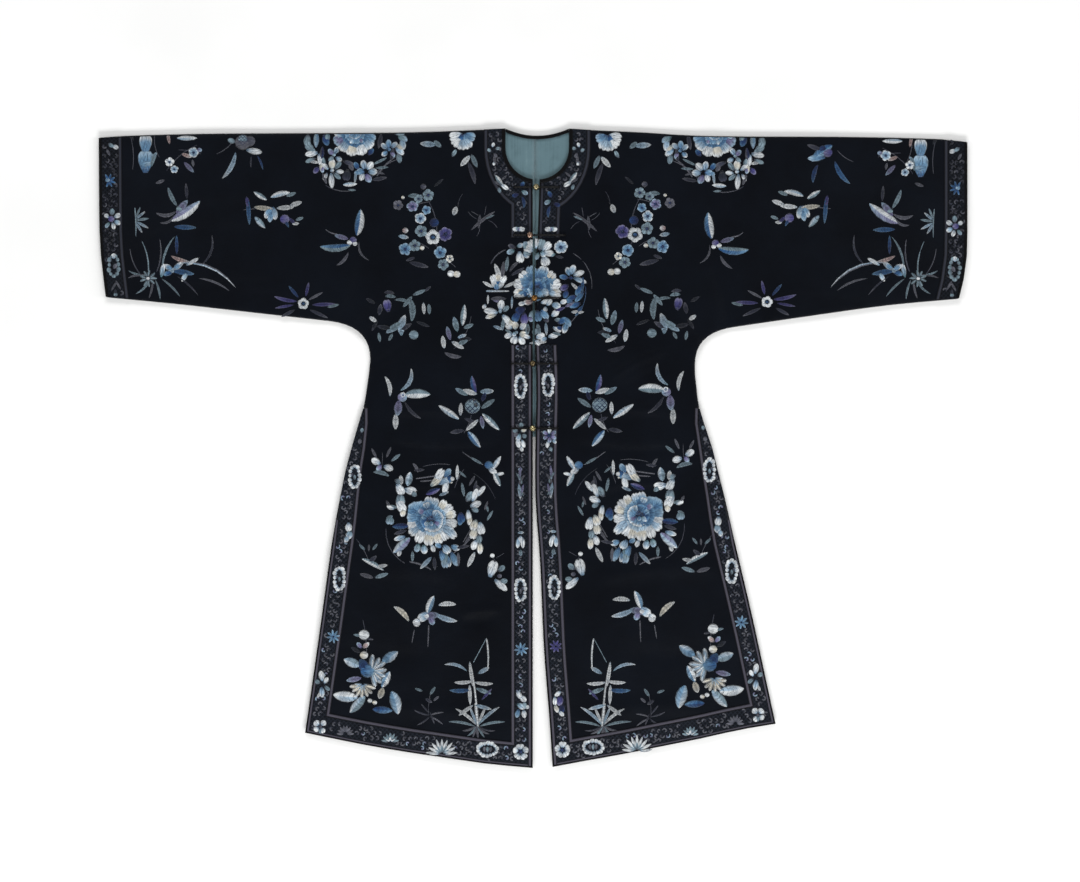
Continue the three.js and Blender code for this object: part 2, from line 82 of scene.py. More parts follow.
# Soft ridges (rise above 0) and troughs (below 0): from one end to the other, all in mm.
CREASES = [
    # x1, y1, x2, y2, width, rise
    (-262, 57, -52, 48, 11, 2.0),
    (-258, 8, -44, 6, 9, -1.6),
    (44, 47, 250, 60, 12, 2.0),
    (50, 10, 262, 2, 9, -1.6),
    (-300, -205, -120, -216, 16, 1.4),
    (90, -222, 330, -205, 14, 1.4),
    (-124, -276, -44, -271, 6, 1.6),
    (-128, -290, -60, -284, 6, -1.1),
    (118, 108, 232, 166, 6, 1.6),
    (128, 94, 214, 140, 6, -1.1),
    (-330, 150, -210, 262, 13, 1.8),
    (-290, 130, -190, 190, 10, -1.3),
    (-352, 190, -300, 330, 14, -1.4),
    (296, 150, 226, 250, 12, 1.8),
    (330, 180, 292, 320, 14, -1.4),
    (-700, 330, -430, 352, 17, 1.8),
    (-650, 430, -380, 452, 19, -1.4),
    (-600, 252, -400, 268, 12, 1.4),
    (430, 350, 690, 322, 17, 1.8),
    (360, 446, 660, 436, 19, -1.4),
    (400, 262, 600, 246, 12, 1.4),
    (-250, -60, -90, -82, 7, 1.1),
    (70, -78, 240, -60, 7, 1.1),
    (-330, -330, -150, -344, 19, -1.3),
    (130, -340, 330, -330, 19, -1.3),
    (-280, -440, -80, -452, 14, 1.1),
    (90, -446, 300, -440, 14, 1.1),
    (-60, 300, -210, 330, 14, 1.3),
    (60, 300, 200, 336, 14, 1.3),
]
CREASE_TAPER = 0.25  # the share of a crease's length over which each end fades out
CREASE_BOW = 0.06  # how far a crease bends sideways at its middle, as a share of its length
BILLOW = 2.3  # mm, how far the front lies above its flat solid on average
LEAST_LIFT = 0.1  # mm
# Slow waves of the cloth: radians for each mm across and along, phase, and depth in mm.
RIPPLES = [(0.0131, 0.0067, 0.4, 0.24), (-0.0079, 0.0163, 2.1, 0.2), (0.031, -0.022, 4.0, 0.12)]


def eased(share):
    """A share from 0 to 1, with a soft start and end."""
    return share * share * (3 - 2 * share)


def lift(x, y):
    """How far the front layer is raised at a place, all in metres. Takes numbers or arrays."""
    x, y = np.asarray(x) / MM, np.asarray(y) / MM
    rise = np.full(x.shape, BILLOW)
    for across, along, phase, depth in RIPPLES:
        rise = rise + depth * np.sin(x * across + y * along + phase)
    for x1, y1, x2, y2, width, height in CREASES:
        length = math.hypot(x2 - x1, y2 - y1)
        run_x, run_y = (x2 - x1) / length, (y2 - y1) / length
        along = ((x - x1) * run_x + (y - y1) * run_y) / length
        off = (y - y1) * run_x - (x - x1) * run_y
        off = off - CREASE_BOW * length * np.sin(along * math.pi) * (1 if height > 0 else -1)
        fade = eased(np.clip(np.minimum(along, 1 - along) / CREASE_TAPER, 0, 1))
        rise = rise + height * fade * np.exp(-((off / width) ** 2))
    return np.maximum(rise, LEAST_LIFT) * MM


def layer_share(z):
    """How much of the lift a height takes up: none at the back, all from the front panel up."""
    return np.clip((np.asarray(z) - BACK_TOP) / (FRONT_TOP - SATIN_WALL - BACK_TOP), 0, 1)


def draped(points, share=None):
    """Points of the flat jacket, raised to the lie of the cloth, or by one share of it."""
    points = np.array(points, float)
    part = layer_share(points[:, 2]) if share is None else share
    points[:, 2] += lift(points[:, 0], points[:, 1]) * part
    return points


# ---------------------------------------------------------------- outlines from the frame

BACK_LAYER, HALFWAY, FRONT_LAYER = 0.15, 0.5, 0.85  # where a solid is cut, as a share of its height


def outline_loops(node, share):
    """The closed outlines of a CAD node at a share of its height, anticlockwise, in metres."""
    low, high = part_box(node)
    at = low.z + share * (high.z - low.z)
    mesh = bmesh.new()
    mesh.from_mesh(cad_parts[node].data)
    bmesh.ops.remove_doubles(mesh, verts=mesh.verts, dist=1e-6)
    everything = [*mesh.verts, *mesh.edges, *mesh.faces]
    cut = bmesh.ops.bisect_plane(mesh, geom=everything, plane_co=(0, 0, at), plane_no=(0, 0, 1))
    mesh.verts.index_update()
    links = {}
    for edge in cut["geom_cut"]:
        if isinstance(edge, bmesh.types.BMEdge):
            first, second = edge.verts
            links.setdefault(first, []).append(second)
            links.setdefault(second, []).append(first)
    loops = []
    while links:
        start = min(links, key=lambda vert: vert.index)
        loop, vert = [], start
        while vert in links:
            loop.append(tuple(vert.co.xy))
            onward = [other for other in links.pop(vert) if other in links]
            vert = onward[0] if onward else None
        loops.append(straightened(np.array(loop)))
    mesh.free()
    return sorted(loops, key=lambda loop: -abs(area_of(loop)))


def outline(node, share=HALFWAY):
    """The largest of those outlines."""
    return outline_loops(node, share)[0]


SLIGHT_TURN = math.radians(12)
CLOSE = 3.2 * MM  # a slight turn nearer than this to another point is left out
ROOM_TRIES = 12
CLEAR = 0.85  # a point moved in is clear of the loop if this share of the inset is left round it
LEAST_ROOM = 0.06  # the smallest share of an inset that is taken
TIGHT = 0.9  # the share taken of the room there is, where the whole inset doesn't fit


def room_inside(loop, most):
    """For each point, the share of an inset that leaves it clear of the loop's other side."""
    room = np.zeros(len(loop))
    for distance in np.linspace(most / ROOM_TRIES, most, ROOM_TRIES):
        gap, inside = edge_distance(moved_in(loop, distance), loop)
        free = inside & (gap > CLEAR * distance) & (room > distance - 1.5 * most / ROOM_TRIES)
        room[free] = distance
    return np.maximum(room / most, LEAST_ROOM) * np.where(room < most * 0.99, TIGHT, 1.0)


def area_of(loop):
    """The area inside a loop, negative if it runs clockwise."""
    x, y = loop[:, 0], loop[:, 1]
    return 0.5 * float(np.sum(x * np.roll(y, -1) - np.roll(x, -1) * y))


def lengths(vectors):
    return np.linalg.norm(vectors, axis=1)


def sides_at(loop):
    """For each point of a loop, the side that leads to it and the side that leads on."""
    return loop - np.roll(loop, 1, 0), np.roll(loop, -1, 0) - loop


def straightened(loop):
    """The loop anticlockwise, without the points that lie on a straight run."""
    if area_of(loop) < 0:
        loop = loop[::-1]
    before, after = sides_at(loop)
    turn = np.abs(before[:, 0] * after[:, 1] - before[:, 1] * after[:, 0])
    reach = lengths(before) * lengths(after)
    return loop[turn > 1e-4 * np.maximum(reach, 1e-12)]


def resampled(loop, step):
    """The loop with its corners, and points between them at most a step apart."""
    before, after = sides_at(loop)
    reach = lengths(before) * lengths(after)
    sharp = np.sum(before * after, axis=1) < reach * math.cos(SLIGHT_TURN)
    beside = np.minimum(lengths(before), lengths(after))
    loop = loop[sharp | (beside > CLOSE)]
    points = []
    for start, end in zip(loop, np.roll(loop, -1, 0)):
        pieces = max(1, math.ceil(np.linalg.norm(end - start) / step))
        points += [start + (end - start) * i / pieces for i in range(pieces)]
    return np.array(points)


def moved_in(loop, distance):
    """An anticlockwise loop, moved inwards with mitred corners."""
    before, after = sides_at(loop)
    before = before / np.maximum(lengths(before), 1e-9)[:, None]
    after = after / np.maximum(lengths(after), 1e-9)[:, None]
    mean = before + after
    mean = mean / np.maximum(lengths(mean), 1e-6)[:, None]
    mitre = np.minimum(1 / np.maximum(np.sum(mean * after, axis=1), 0.4), 1.6)
    return loop + np.stack([-mean[:, 1], mean[:, 0]], 1) * (distance * mitre)[:, None]


def edge_distance(points, loop):
    """How far points lie from a loop, and which of them are inside it."""
    starts, ends = loop, np.roll(loop, -1, 0)
    runs = ends - starts
    squared = np.sum(runs * runs, axis=1)
    distances, inside = [], []
    for part in np.array_split(points, max(1, len(points) * len(loop) // 2_000_000)):
        offset = part[:, None] - starts
        along = np.clip(np.sum(offset * runs, axis=2) / squared, 0, 1)
        gap = offset - along[..., None] * runs
        distances.append(np.sqrt(np.min(np.sum(gap * gap, axis=2), axis=1)))
        height = part[:, None, 1]
        crosses = (starts[:, 1] > height) != (ends[:, 1] > height)
        share = (height - starts[:, 1]) / np.where(crosses, runs[:, 1], 1)
        left_of = part[:, None, 0] < starts[:, 0] + share * runs[:, 0]
        inside.append(np.sum(crosses & left_of, axis=1) % 2 == 1)
    return np.concatenate(distances), np.concatenate(inside)


def staggered(loop, spacing, row):
    """Places all over a loop's box, every other row of them half a spacing across."""
    low, high = loop.min(0), loop.max(0)
    return np.array([
        (low[0] + (i + 0.5 * (j % 2)) * spacing, low[1] + j * row)
        for j in range(int((high[1] - low[1]) / row) + 2)
        for i in range(int((high[0] - low[0]) / spacing) + 2)
    ])


RIM_GAP = 0.6  # how far the points inside a loop stay from it, in spacings


def filled(loop, spacing):
    """Points, with the loop's first, and the triangles between them, over the inside of a loop."""
    grid = staggered(loop, spacing, spacing * math.sqrt(3) / 2)
    gap, inside = edge_distance(grid, loop)
    points = np.concatenate([loop, grid[inside & (gap > RIM_GAP * spacing)]])
    border = [list(range(len(loop)))]
    made = geometry.delaunay_2d_cdt([Vector(p) for p in points], [], border, 1, 1e-8)
    origin, extra = [], []
    for place, ids in zip(made[0], made[3]):
        if not ids:
            extra.append(tuple(place))
        origin.append(ids[0] if ids else len(points) + len(extra) - 1)
    triangles = [tuple(origin[i] for i in face) for face in made[2]]
    return (np.concatenate([points, extra]) if extra else points), triangles


# ---------------------------------------------------------------- mesh pieces


def placed(name, data):
    """A new object in the scene."""
    made = bpy.data.objects.new(name, data)
    bpy.context.scene.collection.objects.link(made)
    return made


def shifted(faces, start):
    """The faces of points that come after `start` others."""
    return [tuple(start + i for i in face) for face in faces]


def ring_faces(first, rings, around, closed=False):
    """The quads between rings of points that follow one another, from the point `first` on."""
    faces = []
    for i in range(rings if closed else rings - 1):
        here, there = first + i * around, first + (i + 1) % rings * around
        for j in range(around):
            onward = (j + 1) % around
            faces.append((here + j, here + onward, there + onward, there + j))
    return faces


def end_faces(first, rings, around):
    """A face over each end of such rings."""
    last = first + (rings - 1) * around
    return [tuple(range(first, first + around))[::-1], tuple(range(last, last + around))]


def mesh_piece(name, points, faces, material, smooth=True, colours=None, values=None, stitch=None):
    """A mesh object.

    For each point, `colours` has a colour, `values` a number, and `stitch` a place across and along
    its pad of stitches with the pad's number.
    """
    mesh = bpy.data.meshes.new(name)
    mesh.from_pydata([tuple(p) for p in points], [], faces)
    mesh.validate(clean_customdata=False)
    mesh.polygons.foreach_set("use_smooth", [smooth] * len(mesh.polygons))
    if colours is not None:
        layer = mesh.color_attributes.new("thread", "FLOAT_COLOR", "POINT")
        layer.data.foreach_set("color", np.array(colours, np.float32).ravel())
    if values is not None:
        layer = mesh.attributes.new("across", "FLOAT", "POINT")
        layer.data.foreach_set("value", np.array(values, np.float32))
    if stitch is not None:
        layer = mesh.attributes.new("stitch", "FLOAT_VECTOR", "POINT")
        layer.data.foreach_set("vector", np.array(stitch, np.float32).ravel())
    mesh.materials.append(material)
    return placed(name, mesh)


def stands_for(piece, slot, *nodes):
    """The piece rides on the one body and replaces those CAD nodes. The slot is not used."""
    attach(piece, "root")
    if nodes:
        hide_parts(*nodes)


UNDERSIDE = 50  # how many times coarser the hidden underside is than the top


def stacked(loop, rings, spacing):
    """A closed solid over a loop: `rings` are (inset, height) from the bottom up, in metres.

    Returns its points, faces and each point's inset. Both ends are filled.
    """
    count = len(loop)
    deepest = max(inset for inset, _ in rings)
    room = room_inside(loop, deepest) if deepest else 1.0
    outlines = [moved_in(loop, inset * room) if inset else loop for inset, _ in rings]
    points, insets, faces = [], [], ring_faces(0, len(rings), count)
    for (inset, height), ring in zip(rings, outlines):
        points += [(x, y, height) for x, y in ring]
        insets += [inset] * count
    _, under = filled(outlines[0], UNDERSIDE * spacing)
    faces += [face[::-1] for face in under if max(face) < count]
    over, triangles = filled(outlines[-1], spacing)
    first_inner, start = len(points), (len(rings) - 1) * count
    points += [(x, y, rings[-1][1]) for x, y in over[count:]]
    insets += [rings[-1][0]] * (len(over) - count)
    ids = [*range(start, start + count), *range(first_inner, len(points))]
    faces += [tuple(ids[i] for i in face) for face in triangles]
    return points, faces, insets


# ---------------------------------------------------------------- materials


class Nodes:
    """A short way to wire a node material."""

    def __init__(self, name):
        self.material = bpy.data.materials.new(name)
        self.material.use_nodes = True
        self.tree = self.material.node_tree
        self.tree.nodes.clear()
        self.shader = self.add("ShaderNodeBsdfPrincipled")
        output = self.add("ShaderNodeOutputMaterial")
        self.link(self.shader.outputs["BSDF"], output.inputs["Surface"])
        self.place = self.add("ShaderNodeTexCoord").outputs["Object"]

    def add(self, kind, inputs=None, **settings):
        """A node with its settings, and with what goes into its input sockets."""
        node = self.tree.nodes.new(kind)
        for key, value in settings.items():
            setattr(node, key, value)
        for key, value in (inputs or {}).items():
            self.put(node.inputs[key], value)
        return node

    def link(self, source, target):
        self.tree.links.new(source, target)

    def put(self, target, value):
        """A number, a vector, a linear RGB colour or another node's output into a socket."""
        if isinstance(value, bpy.types.NodeSocket):
            self.link(value, target)
        else:
            target.default_value = (*value, 1) if target.type == "RGBA" else value

    def scaled(self, x=1.0, y=1.0, z=1.0, turn=0.0, place=None):
        """A place stretched by x, y and z and turned about Z: the object's own, if none is given."""
        source = self.place if place is None else place
        inputs = {"Vector": source, "Scale": (x, y, z), "Rotation": (0, 0, turn)}
        return self.add("ShaderNodeMapping", inputs).outputs["Vector"]

    def noise(self, vector, scale, detail, roughness=0.5):
        inputs = {"Vector": vector, "Scale": scale, "Detail": detail, "Roughness": roughness}
        return self.add("ShaderNodeTexNoise", inputs).outputs["Fac"]

    def wave(self, vector, scale, direction, distortion):
        inputs = {"Vector": vector, "Scale": scale, "Distortion": distortion}
        return self.add("ShaderNodeTexWave", inputs, bands_direction=direction).outputs["Fac"]

    def attribute(self, name, output="Fac"):
        return self.add("ShaderNodeAttribute", attribute_name=name).outputs[output]

    def math(self, operation, first, second=0.0):
        return self.add("ShaderNodeMath", {0: first, 1: second}, operation=operation).outputs[0]

    def blend(self, first, second, share):
        """A share of the first value, and the rest from the second."""
        part = self.math("MULTIPLY", first, share)
        return self.math("ADD", part, self.math("MULTIPLY", second, 1 - share))

    def ramp(self, value, stops):
        """A colour ramp: `stops` are (place, colour), colours as linear RGB."""
        node = self.add("ShaderNodeValToRGB")
        node.color_ramp.interpolation = "EASE"
        ramp = node.color_ramp.elements
        while len(ramp) < len(stops):
            ramp.new(0.5)
        for element, (at, colour) in zip(ramp, stops):
            element.position = at
            element.color = (*colour, 1)
        self.link(value, node.inputs["Fac"])
        return node.outputs["Color"]

    def span(self, value, low, high):
        """A value from 0 to 1, spread between two numbers."""
        inputs = {"Value": value, "To Min": low, "To Max": high}
        return self.add("ShaderNodeMapRange", inputs).outputs["Result"]

    def mix(self, share, first, second, blend="MIX"):
        """Two colours mixed. The sockets go by number, because their names repeat."""
        inputs = {0: share, 6: first, 7: second}
        return self.add("ShaderNodeMix", inputs, data_type="RGBA", blend_type=blend).outputs[2]

    def bump(self, height, distance, strength, under=None):
        """A normal with the height's relief, on top of another bump's, if one is given."""
        inputs = {"Height": height, "Distance": distance, "Strength": strength}
        if under is not None:
            inputs["Normal"] = under
        return self.add("ShaderNodeBump", inputs).outputs["Normal"]

    def finish(self, colour, roughness, normal=None, **uniform):
        """Wires the shader. `uniform` sets sockets by name, with _ for a space."""
        self.link(colour, self.shader.inputs["Base Color"])
        self.put(self.shader.inputs["Roughness"], roughness)
        if normal is not None:
            self.link(normal, self.shader.inputs["Normal"])
        for key, value in uniform.items():
            self.shader.inputs[key.replace("_", " ")].default_value = value
        return self.material


TWILL = 2.6 * MM  # from one rib of the trims' twill to the next
WEAVE_DEPTH = 0.06 * MM
PAD_SHIFT = 3.7  # how far apart in the noise two pads of stitches lie, so that no two look alike


def linear(code):
    """Linear RGB of a colour written as RRGGBB."""
    parts = [int(code[i : i + 2], 16) / 255 for i in (0, 2, 4)]
    return tuple(c / 12.92 if c <= 0.04045 else ((c + 0.055) / 1.055) ** 2.4 for c in parts)


def satin_material(name, dark, light, gloss):
    """Warp-faced silk satin: a fine weave, faint slubs, and soft unevenness of tone and gloss."""
    nodes = Nodes(name)
    cloudy = nodes.noise(nodes.scaled(), 7.0, 4.0, 0.6)
    slubs = nodes.noise(nodes.scaled(60, 900), 1.0, 2.0)
    warp = nodes.wave(nodes.scaled(), 900.0, "X", 0.4)
    weft = nodes.wave(nodes.scaled(), 420.0, "Y", 0.6)
    tone = nodes.blend(cloudy, slubs, 0.75)
    colour = nodes.ramp(tone, [(0.3, linear(dark)), (0.72, linear(light))])
    rough = nodes.span(nodes.blend(cloudy, weft, 0.7), gloss - 0.08, gloss + 0.05)
    folds = nodes.bump(nodes.noise(nodes.scaled(1, 1.6), 26.0, 3.0, 0.55), 0.0016, 0.35)
    normal = nodes.bump(nodes.blend(warp, weft, 0.35), WEAVE_DEPTH, 0.3, folds)
    return nodes.finish(colour, rough, normal, Specular_IOR_Level=0.16)


def lining_material():
    """Plain-woven pale teal silk with faint lengthwise streaks and a few water-pale patches."""
    nodes = Nodes("lining_silk")
    cloudy = nodes.noise(nodes.scaled(), 22.0, 4.0, 0.6)
    streaks = nodes.noise(nodes.scaled(220, 4), 1.0, 3.0)
    stops = [(0.3, linear("40595F")), (0.52, linear("567179")), (0.75, linear("6C878D"))]
    colour = nodes.ramp(nodes.blend(cloudy, streaks, 0.6), stops)
    threads = nodes.wave(nodes.scaled(), 520.0, "X", 0.5)
    across = nodes.wave(nodes.scaled(), 520.0, "Y", 0.5)
    folds = nodes.bump(nodes.noise(nodes.scaled(), 34.0, 3.0), 0.0012, 0.4)
    normal = nodes.bump(nodes.math("ADD", threads, across), WEAVE_DEPTH, 0.4, folds)
    return nodes.finish(colour, nodes.span(cloudy, 0.42, 0.58), normal, Sheen_Weight=0.2)


def band_material(name, dark, light, line):
    """Navy-black satin ribbon of the borders, with a small woven lozenge ground."""
    nodes = Nodes(name)
    cloudy = nodes.noise(nodes.scaled(), 60.0, 3.0)
    one = nodes.wave(nodes.scaled(1, 1, 1, math.pi / 4), 62.0, "X", 0.6)
    two = nodes.wave(nodes.scaled(1, 1, 1, -math.pi / 4), 62.0, "X", 0.6)
    lattice = nodes.math("MAXIMUM", nodes.math("POWER", one, 6.0), nodes.math("POWER", two, 6.0))
    ground = nodes.ramp(cloudy, [(0.3, linear(dark)), (0.7, linear(light))])
    colour = nodes.mix(nodes.math("MULTIPLY", lattice, 0.7), ground, linear(line))
    weave = nodes.wave(nodes.scaled(), 700.0, "Y", 0.5)
    normal = nodes.bump(lattice, 0.2 * MM, 0.5, nodes.bump(weave, WEAVE_DEPTH, 0.4))
    return nodes.finish(colour, nodes.span(cloudy, 0.5, 0.65), normal, Specular_IOR_Level=0.1)


def trim_material(name, dark, light):
    """Woven ribbon: dark edges, and a mauve-grey twill line along its middle."""
    nodes = Nodes(name)
    across = nodes.attribute("across")
    cloudy = nodes.noise(nodes.scaled(), 90.0, 3.0)
    parts = nodes.add("ShaderNodeSeparateXYZ", {0: nodes.place})
    run = nodes.math("ADD", parts.outputs["X"], parts.outputs["Y"])
    twill = nodes.math("SINE", nodes.math("MULTIPLY", run, 2 * math.pi / TWILL))
    stripes = nodes.ramp(across, [(0.6, linear(dark)), (1.05, linear(light))])
    worn = nodes.mix(nodes.span(twill, 0.0, 0.3), stripes, linear("14141A"))
    colour = nodes.mix(nodes.span(cloudy, 0.0, 0.3), worn, linear("22222B"))
    normal = nodes.bump(twill, 0.00012, 0.5)
    return nodes.finish(colour, nodes.span(cloudy, 0.5, 0.7), normal, Specular_IOR_Level=0.16)


def thread_material():
    """Silk floss: the colour laid down with the stitches, streaked along them, dark between strands."""
    nodes = Nodes("silk_floss")
    stitch = nodes.attribute("stitch", "Vector")
    dyed = nodes.noise(nodes.scaled(0.55, 0.07, PAD_SHIFT, place=stitch), 1.0, 2.0)
    strands = nodes.noise(nodes.scaled(1.9, 0.16, PAD_SHIFT, place=stitch), 1.0, 2.0)
    thread = nodes.attribute("thread", "Color")
    lighter = nodes.ramp(dyed, [(0.36, (0.62, 0.64, 0.68)), (0.66, (1.12, 1.11, 1.1))])
    colour = nodes.mix(1.0, thread, lighter, "MULTIPLY")
    gaps = nodes.ramp(strands, [(0.36, (1, 1, 1)), (0.5, (0, 0, 0))])
    colour = nodes.mix(nodes.math("MULTIPLY", gaps, 0.7), colour, linear("0B0F1A"))
    normal = nodes.bump(strands, 0.0004, 0.7)
    return nodes.finish(colour, nodes.span(dyed, 0.36, 0.56), normal, Specular_IOR_Level=0.3,
                        Sheen_Weight=0.1, Sheen_Roughness=0.35)


def brass_material(name, bright, dull):
    """Cast brass with an engraved ground, dark in its hollows and rubbed bright on top."""
    nodes = Nodes(name)
    inputs = {"Vector": nodes.place, "Scale": 520.0}
    cells = nodes.add("ShaderNodeTexVoronoi", inputs, feature="DISTANCE_TO_EDGE")
    groove = nodes.ramp(cells.outputs["Distance"], [(0.0, (0, 0, 0)), (0.16, (1, 1, 1))])
    tarnish = nodes.noise(nodes.scaled(), 340.0, 4.0)
    metal = nodes.ramp(tarnish, [(0.3, linear(dull)), (0.7, linear(bright))])
    colour = nodes.mix(groove, linear("2A2018"), metal)
    normal = nodes.bump(groove, 0.0004, 0.6)
    return nodes.finish(colour, nodes.span(tarnish, 0.26, 0.5), normal, Metallic=1.0)


SATIN = satin_material("black_satin", "010309", "030812", 0.46)
BINDING = satin_material("binding_satin", "010102", "040406", 0.5)
STRAP = satin_material("strap_satin", "020203", "070709", 0.5)
LINING = lining_material()
BAND = band_material("band_silk", "05080E", "0D1118", "1F242E")
CUFF_BAND = band_material("cuff_band_silk", "030509", "090C12", "1A1E27")
TRIM = trim_material("trim_weave", "06070B", "4B4954")
DIM_TRIM = trim_material("dim_trim_weave", "05060A", "2C2F39")

# ---------------------------------------------------------------- the body of the jacket

CLOTH_STEP = 6.5 * MM
EDGE_STEP = 6.0 * MM
FOLD_STEPS = 6  # round the folded edge, from the front layer to the back layer
TOUCHING = 0.05 * MM
LINING_LIFT = 0.3  # the share of the lie of the cloth that the back lining follows


def folded_points(loop, side):
    """Which points of the front's outline lie on the fold or on a sewn edge."""
    near = np.zeros(len(loop), bool)
    for wall in outline_loops(f"body_{side}", HALFWAY):
        gap, _ = edge_distance(loop, wall)
        near |= gap < TOUCHING
    return near


NARROWEST = 10 * MM  # the least width of a strip's flat size


def strip_cut(loop, roll=0.0):
    """The flat size and area of the straight strip that has a loop's area and girth.

    `roll` is how much more of it shows at its outer side than from above.
    """
    girth = float(lengths(sides_at(loop)[1]).sum())
    area = abs(area_of(loop))
    width = (girth / 2 - math.sqrt(girth * girth / 4 - 4 * area)) / 2
    length = girth / 2 - width
    return (max(width + roll, NARROWEST), length), (width + roll) * length


def body_piece(side):
    """Front and back layer in one thin shell, rounded over along the fold and the sewn edge."""
    node = f"body_{side}"
    front_loop = resampled(outline(node, FRONT_LAYER), EDGE_STEP)
    back_loop = resampled(outline(node, BACK_LAYER), EDGE_STEP)
    folded = folded_points(front_loop, side)
    front_middle, back_middle = FRONT_TOP - SATIN_WALL / 2, SATIN_WALL / 2
    bend = (front_middle - back_middle) / 2
    inward = bend + SATIN_WALL / 2
    front_edge = np.where(folded[:, None], moved_in(front_loop, inward), front_loop)
    known = {tuple(np.round(p, 7)): i for i, p in enumerate(front_loop)}
    twin = [known.get(tuple(np.round(p, 7))) for p in back_loop]
    joined = [i is not None and folded[i] for i in twin]
    back_edge = np.array([front_edge[i] if use else p for i, use, p in zip(twin, joined, back_loop)])
    front, front_faces = filled(front_edge, CLOTH_STEP)
    back, back_faces = filled(back_edge, CLOTH_STEP)
    points = [(x, y, front_middle) for x, y in front]
    start = len(points)
    points += [(x, y, back_middle) for x, y in back]
    faces = front_faces + shifted([face[::-1] for face in back_faces], start)

    # Round the fold, a row of points from each point of the front's edge to its twin on the back.
    outward = moved_in(front_loop, inward) - moved_in(front_loop, inward - 1 * MM)
    outward = -outward / lengths(outward)[:, None]
    to_back = {i: start + j for j, (i, use) in enumerate(zip(twin, joined)) if use}
    rows = {}
    for i in to_back:
        row = [i]
        for k in range(1, FOLD_STEPS):
            angle = math.pi * k / FOLD_STEPS
            x, y = front_edge[i] + outward[i] * bend * math.sin(angle)
            row.append(len(points))
            points.append((x, y, front_middle - bend * (1 - math.cos(angle))))
        rows[i] = [*row, to_back[i]]
    count = len(front_loop)
    for i in rows:
        after = (i + 1) % count
        if after in rows:
            for k in range(FOLD_STEPS):
                faces.append((rows[i][k], rows[i][k + 1], rows[after][k + 1], rows[after][k]))
    piece = mesh_piece(f"{node}_satin", draped(points), faces, SATIN)
    wall = piece.modifiers.new("wall", "SOLIDIFY")
    wall.thickness = SATIN_WALL
    wall.offset = 0
    # The flat sheet is one length, from the front hem over the shoulder to the back hem.
    cut = abs(area_of(front_loop)) + abs(area_of(back_loop))
    stands_for(piece, "satin", node)


def lining_piece(side):
    node = f"lining_{side}"
    loop = resampled(outline(node), EDGE_STEP)
    points, faces, _ = stacked(loop, [(0, LINING_BASE), (0, LINING_TOP)], CLOTH_STEP)
    piece = mesh_piece(f"{node}_silk", draped(points, LINING_LIFT), faces, LINING)
    flat, cut = strip_cut(loop)
    stands_for(piece, "lining", node)


for side in SIDES:
    body_piece(side)
for side in SIDES:
    lining_piece(side)

# ---------------------------------------------------------------- borders

# Across a strip from its edge inwards: how far in, and how high above its base, in mm.
BAND_RINGS = [(0.2, 0.0), (0.0, 0.35), (0.1, 0.7), (0.5, 0.85), (1.2, 0.8)]
TRIM_RINGS = [
    (0.15, 0.0), (0.0, 0.4), (0.15, 0.8), (0.6, 0.95), (1.4, 0.8), (1.9, 0.85), (2.3, 1.05), (2.8, 1.1),
]
EDGE_TRIM_RINGS = [(0.15, 0.0), (0.0, 0.4), (0.15, 0.8), (0.5, 0.9), (0.8, 1.0), (1.4, 0.95)]
BINDING_RINGS = [(0.1, 0.0), (0.0, 0.4), (0.12, 0.9), (0.4, 1.25), (0.8, 1.4)]
BINDING_ROLL = 1.4 * MM  # how much of a binding is at its outer side
STRIP_EDGE_STEP, STRIP_STEP = 4.5 * MM, 5.0 * MM


def strip_piece(node, slot, rings, material, line=1.0):
    """A strip over its CAD outline. A trim's pale line starts `line` mm in from its edge."""
    whole = outline(node)
    loop = resampled(whole, STRIP_EDGE_STEP)
    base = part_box(node)[0].z - SEAT
    levels = [(inset * MM, base + height * MM) for inset, height in rings]
    points, faces, insets = stacked(loop, levels, STRIP_STEP)
    across = [inset / (line * MM) for inset in insets]
    piece = mesh_piece(f"{node}_cloth", draped(points), faces, material, values=across)
    flat, cut = strip_cut(whole, BINDING_ROLL if slot == "binding" else 0.0)
    stands_for(piece, slot, node)


STRIPS = [
    # nodes, slot, rings, material, where the pale line starts
    (("collar_band", "front_band", "hem_band", "side_band"), "band", BAND_RINGS, BAND, 1.0),
    (("cuff_band",), "band", BAND_RINGS, CUFF_BAND, 1.0),
    (("skirt_trim",), "trim", TRIM_RINGS, TRIM, 1.9),
    (("collar_trim", "cuff_trim"), "trim", TRIM_RINGS, DIM_TRIM, 1.9),
    (("front_edge_trim", "skirt_edge_trim"), "trim", EDGE_TRIM_RINGS, TRIM, 0.8),
    (("collar_edge_trim",), "trim", EDGE_TRIM_RINGS, DIM_TRIM, 0.8),
    (("neck_binding", "front_binding", "hem_binding", "cuff_binding"),
     "binding", BINDING_RINGS, BINDING, 1.0),
]
for names, slot, rings, material, line in STRIPS:
    for name in names:
        for side in SIDES:
            strip_piece(f"{name}_{side}", slot, rings, material, line)
strip_piece("neck_binding_back", "binding", BINDING_RINGS, BINDING)

# ---------------------------------------------------------------- silk floss and its shades

THREADS = {
    "white": "D8DDDF", "cream": "D2CDBE", "pale": "98B2C6", "sky": "668CAA", "mid": "456B8E",
    "blue": "2D5886", "deep": "1E3C6C", "navy": "131D42", "violet": "413F78", "lilac": "7C7B9C",
    "teal": "3A6A74", "mist": "7D939E", "grey": "63656F", "dusk": "343848", "dim": "1A202B",
    "rose": "A8918E",
}
